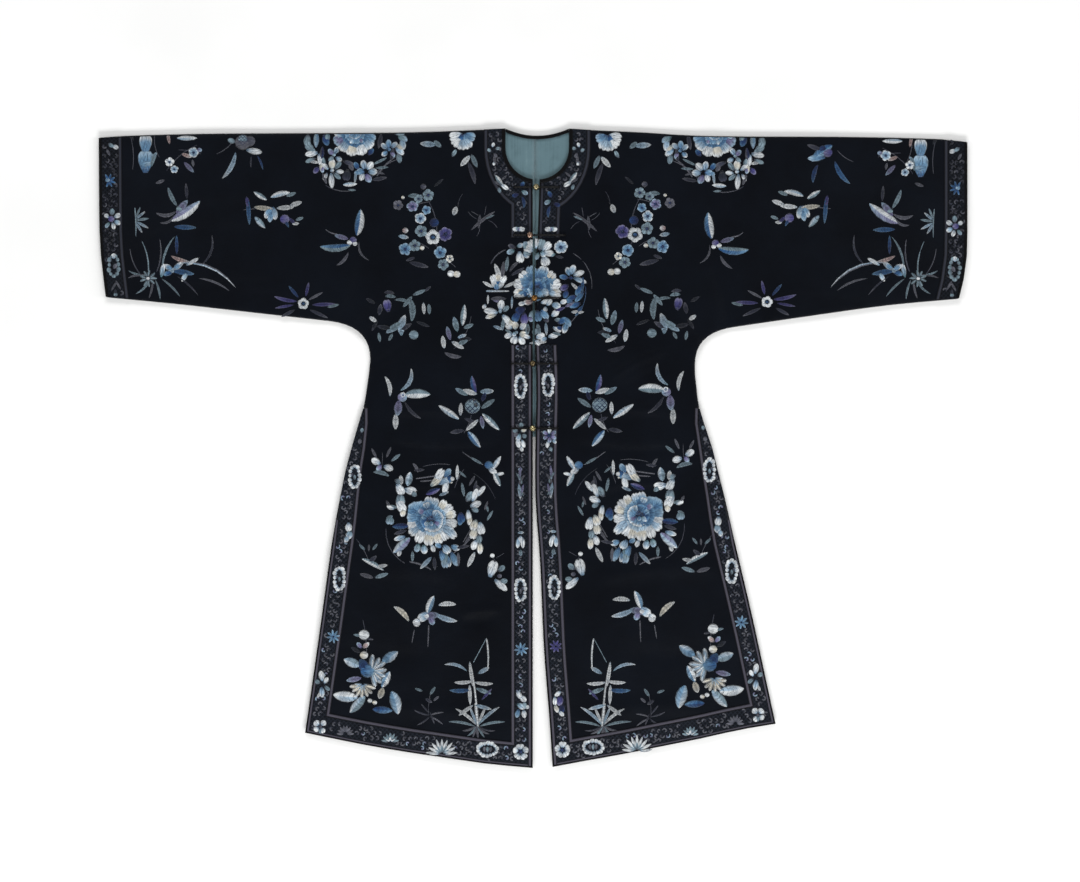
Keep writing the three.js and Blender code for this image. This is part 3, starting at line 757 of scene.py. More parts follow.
# Each tone of a motif, from the root of a petal or leaf out to its rim.
TONES = {
    "white": "sky white white", "cream": "mist cream white", "pale": "mid pale white",
    "sky": "blue sky pale", "blue": "navy blue sky", "deep": "navy deep mid", "navy": "navy navy deep",
    "violet": "navy violet lilac", "lilac": "violet lilac pale", "teal": "teal mist pale",
    "mist": "dusk mist mist", "grey": "dusk grey grey", "dusk": "dim dusk grey", "dim": "dim dim dusk",
    "mid": "navy mid sky", "rose": "grey rose white", "frost": "teal pale white", "ice": "mid sky white",
}
TWO_LOBES, THREE_LOBES = 12.5, 19.0  # mm, the widths from which a petal has more than one lobe
WREATH_PETAL = 7.0  # mm
LAP = 0.02  # mm, how far each petal of a whorl lies above the one before
BARE_LINE_AND_PAINTED_SHADE = 0.75  # how much darker each shape grows towards its sides and rim: partly the bare line left round it, partly painted shade where one shape laps over another
STEP_BLUR = 0.3  # the share of a colour step over which one shade passes into the next


def shade_of(tone, start=0.0, vein=0.0):
    """The colour at t, from root to tip, and s, from one side to the other."""
    colours = [np.array(linear(THREADS[name])) for name in TONES[tone].split()]
    strength = random.uniform(0.74, 1.05)

    def shade(t, s):
        reach = start + (1 - start) * max(t, min(1.0, 2.2 * t) * abs(s) ** 1.6)
        place = min(reach, 0.999) * (len(colours) - 1)
        step = int(place)
        part = min(1.0, max(0.0, (place - step - 0.5 + STEP_BLUR) / (2 * STEP_BLUR)))
        # Painted shade: darker towards the sides and rim, partly the bare line of ground round the
        # shape, partly shade where shapes lap. The darker vein down a leaf's rib is thread colour.
        dark = (1 - BARE_LINE_AND_PAINTED_SHADE * s**4) * (1 - vein * max(0.0, 1 - 2 * abs(s)))
        return (colours[step] * (1 - part) + colours[step + 1] * part) * (strength * dark)

    return shade


# Where the points lie across a pad, from one side at -1 to the other at 1, by how many there are.
SPREADS = {
    3: (-1, 0, 1), 5: (-1, -0.72, 0, 0.72, 1), 6: (-1, -0.75, -0.12, 0.12, 0.75, 1),
}
PAD_RISE, PETAL_RISE, LINE_RISE = 0.34, 0.4, 0.2  # mm, the heights of the pads
FOOT_STEP, FOOT_CYCLE, FOOT_SINK = 0.004, 48, 0.04  # mm, pads, mm: see Silk.foot
SLANT = 0.7  # how much a leaf's stitches lean back towards its root as they leave its rib
HOOP_STEPS, HOOP_LOBES = 30, 5
THREADS_OVER = 0.3  # mm, how far above a fruit the threads lie that cross it
PETAL_ROWS = (0.0, 0.3, 0.62, 0.92, 1.0)  # from a lobed petal's root to its rim
RIM_CLEFT = 0.2  # how deep the clefts in its rim are, as a share of its length
RIM_ROUND = 0.2  # how much shorter it is at its sides, as a share of its length
ROOT_WIDTH = 0.3  # its width at the root, as a share of the whole


class Silk:
    """Stitched pads of silk floss in mm, each a low closed solid, gathered into one mesh."""

    def __init__(self, ground):
        self.ground = ground  # the height of the cloth below, in mm
        self.points, self.faces, self.colours, self.stitches = [], [], [], []
        self.order = 0

    def vertex(self, place, height, colour, across, along):
        self.points.append((place.real, place.imag, self.ground + height))
        self.colours.append((*colour, 1.0))
        self.stitches.append((across, along, self.order))

    def foot(self, level):
        """Where the next pad starts: a little above the one before, so that none lie in one plane."""
        self.order += 1
        return level + FOOT_STEP * (self.order % FOOT_CYCLE) - FOOT_SINK

    def pad(self, spine, widths, shade, rise, across, level, lengthways):
        """A pad along a spine of complex places, with a half width for each place between its ends."""
        first, last = len(self.points), len(spine) - 1
        foot = self.foot(level)
        run = 0.0
        self.vertex(spine[0], foot, shade(0.0, 0.0), 0.0, 0.0)
        for i in range(1, last):
            way = spine[i + 1] - spine[i - 1]
            side = way / max(abs(way), 1e-9) * 1j
            run += abs(spine[i] - spine[i - 1])
            t = i / last
            crown = rise * min(1.0, 5 * t, 5 * (1 - t))
            for s in SPREADS[across]:
                offset = widths[i - 1] * s
                height = foot + crown * math.sqrt(max(0.0, 1 - s * s))
                laid = (offset, run) if lengthways else (run + SLANT * abs(offset), abs(offset))
                self.vertex(spine[i] + side * offset, height, shade(t, s), *laid)
        self.vertex(spine[last], foot, shade(1.0, 0.0), 0.0, run)
        tip = len(self.points) - 1
        for j in range(across - 1):
            self.faces.append((first, first + 2 + j, first + 1 + j))
            self.faces.append((tip, tip - across + j, tip - across + j + 1))
        self.faces.append((first, first + 1, first + across))
        self.faces.append((tip, tip - 1, tip - across))
        self.faces += ring_faces(first + 1, last - 1, across)

    def shell(self, root, way, half, lobes, shade, level):
        """A petal from its root along `way`, wide and round towards its lobed rim."""
        first, foot = len(self.points), self.foot(level)
        columns, deep = 6 + 4 * (lobes - 1), len(PETAL_ROWS)
        length, around = abs(way), 2 * deep - 2
        rows = [(t, 1) for t in PETAL_ROWS] + [(t, 0) for t in PETAL_ROWS[-2:0:-1]]
        for i in range(columns + 1):
            s = 2 * i / columns - 1
            lobe = abs(math.sin(math.pi * lobes * (s + 1) / 2)) ** 0.5
            reach = length * (1 - RIM_ROUND * s * s - (1 - lobe) * RIM_CLEFT / lobes)
            for t, top in rows:
                along = reach * t
                across = half * s * (ROOT_WIDTH + (1 - ROOT_WIDTH) * math.sin(1.9 * t) / 0.95)
                crown = PETAL_RISE * math.sin(math.pi * (0.05 + 0.9 * t)) * (1 - 0.7 * s**4)
                # Painted shade: the petal darkens at its rim, its sides and down the clefts between its
                # lobes. This is partly the bare line round it and partly shade from folds and
                # overlapping petals.
                edge = max((t - PETAL_ROWS[-2]) / (1 - PETAL_ROWS[-2]), s**6, 0.8 * t**5 * (1 - lobe))
                place = root + way * complex(along, across) / length
                self.vertex(place, foot + top * (crown if t < 1 else 0), shade(t, edge), across, along)
        self.faces += ring_faces(first, columns + 1, around) + end_faces(first, columns + 1, around)

    def hoop(self, centre, inner, outer, shade, level, turn):
        """A closed ring of stitching, its outside in lobes."""
        first, foot = len(self.points), self.foot(level)
        for i in range(HOOP_STEPS):
            angle = 2 * math.pi * i / HOOP_STEPS
            reach = outer * (0.82 + 0.18 * abs(math.cos(HOOP_LOBES * angle / 2)))
            for j in range(4):
                s = j / 3
                height = foot + PAD_RISE * math.sqrt(max(0.0, 1 - (2 * s - 1) ** 2))
                place = centre + cmath.rect(inner + (reach - inner) * s, angle + turn)
                self.vertex(place, height, shade(s, 0.0), angle * outer, reach * s)
        self.faces += ring_faces(first, HOOP_STEPS, 4, closed=True)

    def cut(self, place, beyond):
        """A copy without what lies past a line through a complex place, in the direction `beyond`."""
        mesh = bmesh.new()
        colour = mesh.verts.layers.float_color.new("thread")
        stitch = mesh.verts.layers.float_vector.new("stitch")
        verts = [mesh.verts.new(p) for p in self.points]
        for vert, shade, across in zip(verts, self.colours, self.stitches):
            vert[colour] = shade
            vert[stitch] = across
        for face in self.faces:
            mesh.faces.new([verts[i] for i in face])
        everything = [*mesh.verts, *mesh.edges, *mesh.faces]
        made = bmesh.ops.bisect_plane(mesh, geom=everything, plane_co=(place.real, place.imag, 0),
                                      plane_no=(beyond.real, beyond.imag, 0), clear_outer=True)
        rim = [e for e in made["geom_cut"] if isinstance(e, bmesh.types.BMEdge) and e.is_boundary]
        bmesh.ops.holes_fill(mesh, edges=rim, sides=0)
        mesh.verts.index_update()
        left = Silk(self.ground)
        left.points = [tuple(v.co) for v in mesh.verts]
        left.colours = [tuple(v[colour]) for v in mesh.verts]
        left.stitches = [tuple(v[stitch]) for v in mesh.verts]
        left.faces = [tuple(v.index for v in f.verts) for f in mesh.faces]
        mesh.free()
        return left

    def take(self, other):
        self.faces += shifted(other.faces, len(self.points))
        self.points += other.points
        self.colours += other.colours
        self.stitches += other.stitches

    def piece(self, name, material, raised=None):
        """The mesh, draped. `raised` gives what more to add to each point's height, in metres."""
        points = draped(np.array(self.points) * MM)
        if raised is not None:
            points[:, 2] += raised(points)
        made = mesh_piece(name, points, self.faces, material, colours=self.colours, stitch=self.stitches)
        stands_for(made, "embroidery")


class Pen:
    """Draws motifs in mm round a place on the jacket, as charted or mirrored.

    Leaves, ribs and lines take x, y, angle in degrees, length, width, bend and tone, and petals the same
    without a bend. Round shapes take x, y, radius and tone, and a fan has an angle before the tone.
    """

    def __init__(self, silk, x, y, flip):
        self.silk, self.origin, self.flip = silk, complex(x, y), flip
        self.level = 0.0

    def at(self, place):
        return self.origin + (-place.conjugate() if self.flip else place)

    def blade(self, start, end, width, shade, bend, root, tip, steps=6, across=5, rise=PAD_RISE,
              level=0.0, lengthways=True):
        """root and tip say how sharply it narrows at its ends: 1 a point, 0.3 blunt."""
        run = end - start
        fattest = root / (root + tip)
        peak = fattest**root * (1 - fattest) ** tip
        places = [0.5 - 0.5 * math.cos(math.pi * i / (steps + 1)) for i in range(steps + 2)]
        spine = [self.at(start + run * (t + 4j * bend * t * (1 - t))) for t in places]
        wide = [0.5 * width * t**root * (1 - t) ** tip / peak for t in places[1:-1]]
        self.silk.pad(spine, wide, shade, rise, across, self.level + level, lengthways)

    def stroke(self, x, y, angle, length, width, bend, shade, root, tip, **more):
        start = complex(x, y)
        end = start + cmath.rect(length, math.radians(angle))
        self.blade(start, end, width, shade, bend, root, tip, **more)

    def leaf(self, x, y, angle, length, width, bend, tone):
        shade = shade_of(tone, 0.1, 0.55)
        self.stroke(x, y, angle, length, width, bend, shade, 0.75, 0.75, lengthways=False)

    def rib(self, x, y, angle, length, width, bend, tones):
        """A leaf with a different tone on each side of its rib."""
        one, other = (shade_of(tone, 0.3) for tone in tones.split("-"))
        self.stroke(x, y, angle, length, width, bend, lambda t, s: one(t, s) if s < 0 else other(t, s),
                    0.7, 0.75, across=6, lengthways=False)

    def petal(self, x, y, angle, length, width, tone):
        """A petal that widens from its root to a lobed rim."""
        root = complex(x, y)
        way = self.at(root + cmath.rect(length, math.radians(angle))) - self.at(root)
        lobes = 1 + int(width > TWO_LOBES) + int(width > THREE_LOBES)
        self.silk.shell(self.at(root), way, 0.5 * width, lobes, shade_of(tone), self.level)

    def line(self, x, y, angle, length, width, bend, tone):
        self.stroke(x, y, angle, length, width, bend, shade_of(tone, 0.5), 0.12, 0.3, across=3,
                    rise=LINE_RISE, lengthways=False)

    def dot(self, x, y, radius, tone):
        self.stroke(x - radius, y, 0, 2 * radius, 2 * radius, 0, shade_of(tone, 0.4), 0.5, 0.5, steps=5,
                    level=0.06)

    def ring(self, x, y, radius, tone):
        self.silk.hoop(self.at(complex(x, y)), 0.4 * radius, 1.1 * radius, shade_of(tone, 0.3),
                       self.level + 0.1, random.uniform(0, 1))

    def rays(self, x, y, near, far, start, sweep, count, width, tip, tone, across=5, swing=0.0):
        """Petals round a place, their roots and tips at two radii, over a sweep of degrees."""
        centre = complex(x, y)
        steps = count if sweep >= 360 else count - 1
        for i in range(int(count)):
            way = cmath.rect(1, math.radians(start + sweep * i / steps))
            reach = far * random.uniform(0.93, 1.04)
            self.blade(centre + near * way, centre + reach * way, width, shade_of(tone),
                       swing * (-1) ** i, 0.6, tip, steps=4, across=across, level=0.03 * (i % 2))

    def whorl(self, x, y, near, far, start, sweep, count, width, tone):
        """Broad petals over a sweep of degrees, of uneven size, each lapping over the one before."""
        steps = count if sweep >= 360 else count - 1
        for i in range(int(count)):
            angle = start + sweep * i / steps + random.uniform(-4, 4)
            root = complex(x, y) + cmath.rect(near, math.radians(angle))
            length = (far - near) * random.uniform(0.9, 1.06)
            self.level += LAP
            self.petal(root.real, root.imag, angle, length, width * random.uniform(0.9, 1.1), tone)

    def plum(self, x, y, radius, tone):
        """Five round petals and a dark heart with a pale knot."""
        self.whorl(x, y, 0.14 * radius, radius, random.uniform(0, 72), 360, 5, 0.98 * radius, tone)
        self.dot(x, y, 0.22 * radius, "navy")
        self.dot(x, y, 0.1 * radius, "cream")
        self.level -= 5 * LAP

    def star(self, x, y, radius, tone):
        self.rays(x, y, 0.16 * radius, radius, 0, 360, 9, 0.34 * radius, 0.55, tone, 3, 0.05)
        self.dot(x, y, 0.2 * radius, "white")

    def fan(self, x, y, radius, angle, tone):
        self.rays(x, y, 0.1 * radius, radius, angle - 80, 160, 7, 0.36 * radius, 0.45, tone, 3, 0.03)

    def wreath(self, x, y, wide, high, count, tone):
        """Small petals side by side round an oval."""
        for i in range(int(count)):
            angle = 2 * math.pi * (i + 0.3) / count
            out = math.degrees(math.atan2(math.sin(angle) / high, math.cos(angle) / wide))
            length = random.uniform(0.8, 1.15) * WREATH_PETAL
            self.petal(x + 0.31 * wide * math.cos(angle), y + 0.38 * high * math.sin(angle), out, length,
                       1.15 * length, tone)

    def lattice(self, x, y, radius, tone):
        """A fruit: a round pad under crossing threads."""
        self.dot(x, y, radius, tone)
        self.level += THREADS_OVER
        for angle in (45, -45):
            for row in (-0.66, -0.22, 0.22, 0.66):
                half = radius * math.sqrt(1 - row * row) * 0.96
                way = cmath.rect(1, math.radians(angle))
                start = complex(x, y) + 1j * way * row * radius - way * half
                self.line(start.real, start.imag, angle, 2 * half, 0.11 * radius, 0, "navy")
        self.level -= THREADS_OVER

    def rows(self, chart):
        """Draws a chart, one stitched shape to a line."""
        for row in chart.strip().splitlines():
            kind, *numbers, tone = row.split()
            getattr(self, kind)(*map(float, numbers), tone)


# Motifs in mm from their own middle, one stitched shape to a line.
CHARTS = {
    "crane": """
leaf -6 -8 266 26 15 0 lilac
leaf -11 -30 269 27 11 0 white
leaf 4 -10 -46 40 7 -.1 dusk
leaf -21 -2 104 35 8 -.12 white
leaf -4 8 64 42 8 -.2 frost
rib 3 0 2 44 17 .05 white-mist
dot 0 -3 8 lilac
ring 1 1 4.5 white""",
    "blue_butterfly": """
line -20 6 158 22 3 .1 grey
leaf 16 -6 -62 36 4 -.2 grey
leaf -2 -24 228 30 6 .12 grey
rib 12 3 82 45 17 -.04 white-blue
rib 2 -12 183 52 14 .08 blue-mist
leaf -2 -2 165 24 9 0 lilac
dot 6 -4 6 violet
dot 0 -8 4.5 white
dot 9 -10 4 white""",
    "white_butterfly": """
leaf 10 16 94 27 6 0 dusk
leaf -6 4 116 36 8 .05 mist
leaf -8 -4 184 34 7 .18 grey
leaf -12 -12 205 26 5 .2 grey
leaf -12 -30 -2 38 9 0 blue
rib -18 -20 34 60 17 -.06 white-lilac
leaf -8 -8 50 30 12 0 lilac
dot -3 0 5 mist""",
    "fold_butterfly": """
leaf -16 -14 243 50 9 .1 pale
line -20 4 217 36 1.6 .08 grey
leaf 20 -20 292 26 4 .05 deep
leaf 10 -20 268 20 3 0 dusk
dot -4 2 13 grey
dot 8 4 9 dusk
petal 2 -11 -8 27 11 white
petal -16 2 160 14 9 mist
lattice -4 6 9 mist""",
    "blue_wing": """
leaf -14 -12 236 46 9 .1 blue
line -18 6 215 34 1.6 .08 grey
leaf 14 -18 285 32 8 .08 deep
rib -10 14 -38 44 17 .05 blue-sky
petal 2 -6 -4 30 11 sky
dot -2 2 8 violet
dot 6 8 6 navy
leaf 8 6 20 26 8 0 dusk""",
    "small_butterfly": """
line 8 -16 268 38 3 0 grey
line -16 -24 260 24 2.4 0 grey
leaf -25 -11 136 36 10 -.1 cream
rib 6 2 70 32 13 .05 sky-white
leaf 24 16 2 30 9 .08 white
leaf 18 2 -18 40 10 -.06 pale
leaf -4 -4 10 30 14 0 lilac
petal 10 4 -148 24 15 pale
petal 10 -4 -64 14 11 lilac
petal -6 -8 206 14 11 white
dot -12 -14 6 white
dot 4 -2 5 white""",
    "bird": """
line -12 6 148 46 2.6 .03 grey
leaf -14 7 150 24 5 0 mist
rib 2 -2 58 27 9 0 white-pale
rib 4 -6 -64 26 10 0 white-mist
petal -4 0 -30 16 10 white
dot -4 6 7 blue
petal 8 -10 10 14 6 white""",
    "insect": """
line -4 -8 252 18 1.4 .1 dusk
line 10 2 -40 20 1.4 .1 dusk
line -8 4 140 20 1.4 .1 dusk
line 4 10 80 16 1.4 0 dusk
leaf -19 -15 38 52 6 .03 grey
leaf -6 -12 84 24 6 0 grey
leaf 2 4 20 20 4 0 mist
line -6 10 150 14 1.4 0 grey""",
    "plum_spray": """
line -10 64 -74 60 2 .08 dusk
line -4 4 -52 70 2 -.06 dusk
line -38 -8 -20 34 1.8 .1 dusk
line -44 44 20 44 1.8 .08 dusk
leaf 2 84 40 20 5 0 dim
leaf -40 -42 -14 34 9 0 dusk
leaf -30 -34 200 16 6 0 dusk
plum -58 53 9 grey
plum -34 51 10 lilac
dot -50 66 3 cream
leaf -42 68 -8 24 9 .1 teal
plum -24 64 8 mist
plum -8 70 10 mist
dot -16 84 5 dusk
plum -11 45 8 sky
plum -21 31 10 pale
dot 2 24 8 navy
plum -20 10 11 mist
plum 21 5 12 violet
dot -46 11 5 rose
leaf -58 2 -10 18 8 0 frost
plum -46 -20 11 sky
plum -30 -14 10 mist
dot -18 -18 4 cream
plum 12 -26 11 sky
plum 28 -36 7 cream
plum 17 -46 10 mist
dot 30 -61 6 white
dot 40 -62 6 cream
leaf 34 36 70 16 10 0 white
line 42 50 70 24 1.4 .1 dim
ring 0 0 12 white
dot 0 0 3.6 deep""",
    "fold_flower": """
leaf 10 -34 288 40 9 .04 dusk
leaf -42 -6 176 28 11 0 frost
leaf -34 -10 140 16 9 0 mist
petal -16 -26 60 14 7 mist
leaf 14 -24 228 24 10 0 white
leaf 16 -22 -66 24 9 0 mist
petal 2 10 190 24 18 white
petal 2 8 222 24 18 white
petal 2 8 262 24 18 pale
petal 2 8 300 24 18 pale
petal 4 10 345 20 16 sky
petal 2 12 240 15 13 blue
petal 4 12 290 14 12 sky""",
    "grass_cluster": """
leaf -26 38 -4 18 6 .1 dusk
leaf -24 32 -6 18 7 .1 mist
leaf -8 26 -10 26 6 .1 mist
leaf 16 30 -84 40 12 .1 mist
leaf 6 14 50 24 8 0 mist
leaf 40 22 -86 20 7 0 white
leaf 49 20 -86 18 7 0 mist
leaf 22 34 22 24 7 0 mist
leaf 42 40 40 14 5 0 dusk
leaf -50 -2 -34 15 8 0 white
leaf -34 0 80 20 8 0 dusk
petal -18 6 100 22 14 violet
leaf 6 -10 214 34 12 0 teal
leaf 4 -34 80 36 14 .1 frost
leaf -2 -26 30 26 9 0 dusk
leaf -12 -22 170 26 8 0 dim
leaf -32 -44 100 16 6 0 mist
leaf -18 -42 60 14 6 0 mist
leaf -36 -8 240 20 6 0 dim
leaf 28 -10 -20 24 6 0 dim
leaf -40 20 150 18 6 0 dim
dot 24 -32 8 mist
dot 24 -32 3 navy""",
    "leaf_sprig": """
line -12 -32 62 66 1.6 -.1 dusk
rib 4 8 84 36 11 0 white-mist
leaf -4 -2 104 26 11 0 teal
leaf 6 4 22 18 8 0 mist
leaf -4 -12 20 16 7 0 pale
leaf -16 -16 104 24 9 0 lilac
leaf -26 -30 98 22 9 0 white
leaf -14 -18 -30 24 9 0 white
leaf -26 -36 -14 30 8 -.1 grey
leaf -4 -24 30 22 9 0 teal
leaf -2 -14 0 22 8 0 dim""",
    "pomegranate": """
line -2 -14 248 34 2 .05 dusk
leaf -14 -20 -22 22 7 0 dusk
rib 6 22 104 30 10 .05 violet-deep
leaf 8 20 164 26 10 0 white
leaf 12 24 4 24 10 0 frost
leaf -8 18 150 24 9 0 teal
rib -22 -22 146 42 11 0 white-frost
leaf -20 -16 88 22 8 0 white
leaf -14 -40 190 24 8 0 dusk
leaf 14 -4 34 28 9 0 mist
rib 16 -12 -44 40 11 0 white-mist
leaf 14 -16 -80 22 8 0 lilac
leaf 10 -22 222 28 8 0 white
rib -8 -42 -52 34 12 0 blue-frost
leaf 16 8 70 16 8 0 navy
lattice 0 0 13 mist""",
    "bouquet": """
leaf -40 22 -86 46 8 0 blue
leaf -42 24 -80 20 7 0 violet
rib -8 18 148 26 9 0 mist-white
rib -2 22 14 34 10 .06 frost-white
leaf 24 24 20 18 7 0 mist
leaf -30 6 -6 34 9 0 cream
leaf 8 4 4 30 9 0 white
leaf 30 8 18 22 9 0 white
dot 22 -14 8 violet
leaf 20 -10 -64 20 6 0 deep
leaf 28 -12 -40 16 6 0 violet
leaf 34 -22 4 12 6 0 white
leaf 40 -16 20 14 6 0 mist
rib -28 -10 -48 26 10 0 frost-mist
petal 0 6 240 22 12 ice
petal 2 6 282 22 12 pale
petal 0 4 262 24 11 sky
line -22 4 186 26 1.6 0 dusk""",
    "sprig": """
line -8 26 -88 50 3 .02 mist
leaf -6 6 40 20 5 0 frost
leaf -6 4 8 22 5 0 mist
leaf -6 2 -28 24 5 0 frost
leaf -6 8 68 20 4 0 mist
leaf -6 0 -58 20 5 0 pale""",
    "orchid": """
line -8 -2 100 60 3 -.08 mist
line 6 4 84 56 3 -.08 dusk
line -20 0 112 48 2.4 .08 dusk
leaf 16 6 70 62 4 .1 mist
leaf -6 0 168 36 4 .1 mist
leaf -8 -2 186 34 4 -.1 grey
leaf -4 -6 226 36 4 .1 mist
leaf 0 -8 258 32 4 .05 grey
leaf 4 -8 284 34 4 .05 mist
leaf 14 -6 -44 44 4 .05 mist
leaf 40 -2 -42 48 3 .05 dusk
rib 44 20 -24 104 5 .14 frost-grey
leaf 76 -6 -22 56 4 .08 grey
leaf 80 16 70 54 4 -.16 dusk
leaf 30 32 -18 34 7 -.06 rose
leaf 40 34 90 32 6 0 deep
leaf 16 2 30 42 8 -.1 frost
leaf 30 8 -10 40 10 0 blue
petal 34 8 150 18 9 ice
petal 34 8 40 20 9 ice
petal 34 6 200 18 9 blue
petal 58 6 240 20 8 frost
petal 56 16 30 24 7 white
petal 14 -4 80 24 8 frost
star -8 -6 15 mist""",
    "underarm": """
leaf -10 4 168 40 7 .05 violet
leaf -16 -2 190 32 5 0 violet
leaf 8 6 28 28 5 0 grey
leaf 14 -2 2 40 7 0 violet
leaf -8 10 130 26 6 0 deep
leaf 4 12 78 24 6 0 violet
leaf 10 -10 -24 34 6 0 dusk
leaf -14 -10 208 26 6 0 dusk
leaf 40 -6 14 20 6 0 mist
ring 0 0 9 white
dot 0 0 2.6 deep""",
    "small_flowers": """
line -2 -10 84 34 1.4 -.05 dusk
leaf -8 14 118 18 5 0 grey
leaf 8 14 66 20 5 0 grey
leaf 16 8 38 20 6 0 mist
petal -2 4 150 17 12 white
petal 4 0 -18 17 12 white
leaf -14 -10 -14 28 8 .1 mist
petal 0 2 230 12 9 lilac""",
    "leaf_cluster": """
line -30 40 -60 44 1.6 .05 dusk
leaf -14 20 136 14 5 0 mist
leaf -2 20 52 14 5 0 mist
leaf -8 18 88 12 4 0 grey
rib -20 6 -28 42 9 .04 white-mist
leaf -10 -2 40 20 8 0 dusk
leaf 0 -26 164 24 8 0 grey
leaf 2 -26 18 24 8 0 mist
leaf 4 -8 10 20 7 0 white""",
    "ring_flowers": """
line -6 26 -70 30 1.4 .12 dusk
line 2 22 30 16 1.2 0 dusk
dot -4 26 4 white
petal -8 -10 74 30 17 white
petal 6 0 40 14 10 mist
petal 0 -14 -42 28 12 white
petal 8 -18 10 14 10 mist
dot 8 -8 4 dusk""",
    "chrysanthemum": """
line -22 84 -84 60 1.6 .03 dusk
leaf -26 28 150 18 8 0 dim
dot -20 58 9 white
leaf -24 56 170 14 5 0 mist
leaf -16 52 -10 12 4 0 dusk
petal -24 36 130 12 8 lilac
petal -22 36 40 14 8 rose
dot -20 24 7 cream
rib 10 12 34 32 17 0 ice-sky
rib -26 6 158 30 16 0 teal-frost
rib 10 -30 64 30 14 0 white-sky
leaf 12 -30 250 20 12 0 cream
rib 26 -36 -74 40 20 .04 sky-pale
rib -30 -46 174 42 19 .03 white-pale
rib -18 -44 228 38 16 0 frost-mist
rib -6 -66 -4 34 13 0 blue-deep
leaf -24 -14 190 26 10 0 lilac
dot -10 -52 4 white
dot -2 -55 4 cream
leaf -16 -2 120 22 18 0 deep
dot -14 -2 12 blue
fan -8 -2 28 4 frost
fan -6 -2 20 10 white
fan -22 -26 22 266 cream
fan -22 -24 14 262 pale""",
    "bamboo": """
line 2 62 62 48 2 0 mist
line 24 104 -88 56 4 .04 white
leaf -8 48 164 40 6 -.14 frost
line -4 66 -84 130 4 .03 white
leaf -4 64 -82 42 7 0 white
leaf 2 32 184 32 7 .05 white
leaf 4 30 -4 32 7 -.05 white
leaf 10 44 30 22 8 0 frost
leaf 0 18 182 38 8 .05 blue
leaf -4 26 -88 34 7 0 white
leaf 6 20 -20 28 8 0 teal
leaf 2 -8 216 30 7 0 white
leaf 4 -8 -14 30 7 0 frost
leaf 16 0 48 26 5 0 violet
line 6 -4 -84 44 6 0 white
leaf 8 -42 142 46 6 -.06 white
leaf 6 -44 170 46 5 -.06 mist
leaf 10 -42 40 48 6 .06 frost
leaf 12 -44 10 44 5 .06 mist
leaf 8 -40 112 32 5 0 frost
leaf 10 -40 66 34 5 0 white
leaf 8 -42 200 26 4 .1 grey
leaf 8 -42 228 24 4 .1 mist
leaf 8 -42 252 22 4 0 grey
leaf 8 -42 276 22 4 0 grey
leaf 8 -42 302 24 4 0 mist
leaf 8 -42 326 26 4 -.1 grey
leaf 12 -44 346 28 3 -.1 dusk""",
    "dim_sprig": """
line 0 -20 84 44 1.4 .05 dusk
leaf -10 22 160 14 5 0 mist
leaf 2 16 56 16 6 0 mist
leaf 8 6 40 12 5 0 grey
leaf -6 10 -30 14 6 0 dusk
leaf 2 -18 162 28 3 .05 dusk
leaf 2 -18 12 24 3 .05 grey
leaf 2 -20 -32 26 3 .05 grey
leaf 2 -20 214 26 3 .05 dusk
leaf 0 -14 130 20 3 0 dusk
leaf 2 -12 -70 22 3 0 dusk""",
    "gourd": """
line -26 30 -86 60 1.8 .06 dusk
line 16 34 -80 44 1.8 -.1 dusk
leaf -20 20 120 18 6 0 dim
leaf 10 -24 70 26 9 .1 teal
petal 0 -34 90 40 25 sky
petal 0 -2 90 34 21 ice
dot 0 -18 9 sky""",
    "blossoms": """
line -40 -30 40 70 1.6 .08 dusk
line -20 6 -10 40 1.6 .06 dusk
leaf -34 16 100 20 6 0 rose
rib -22 26 0 34 9 0 frost-white
leaf -14 0 -20 18 7 0 rose
leaf -10 -14 -46 24 8 0 lilac
plum 6 2 9 pale
dot 16 6 4 lilac
plum -34 -14 8 white
plum -26 -26 7 pale
leaf -42 -44 200 16 6 0 grey
leaf 4 -10 -80 12 5 0 grey""",
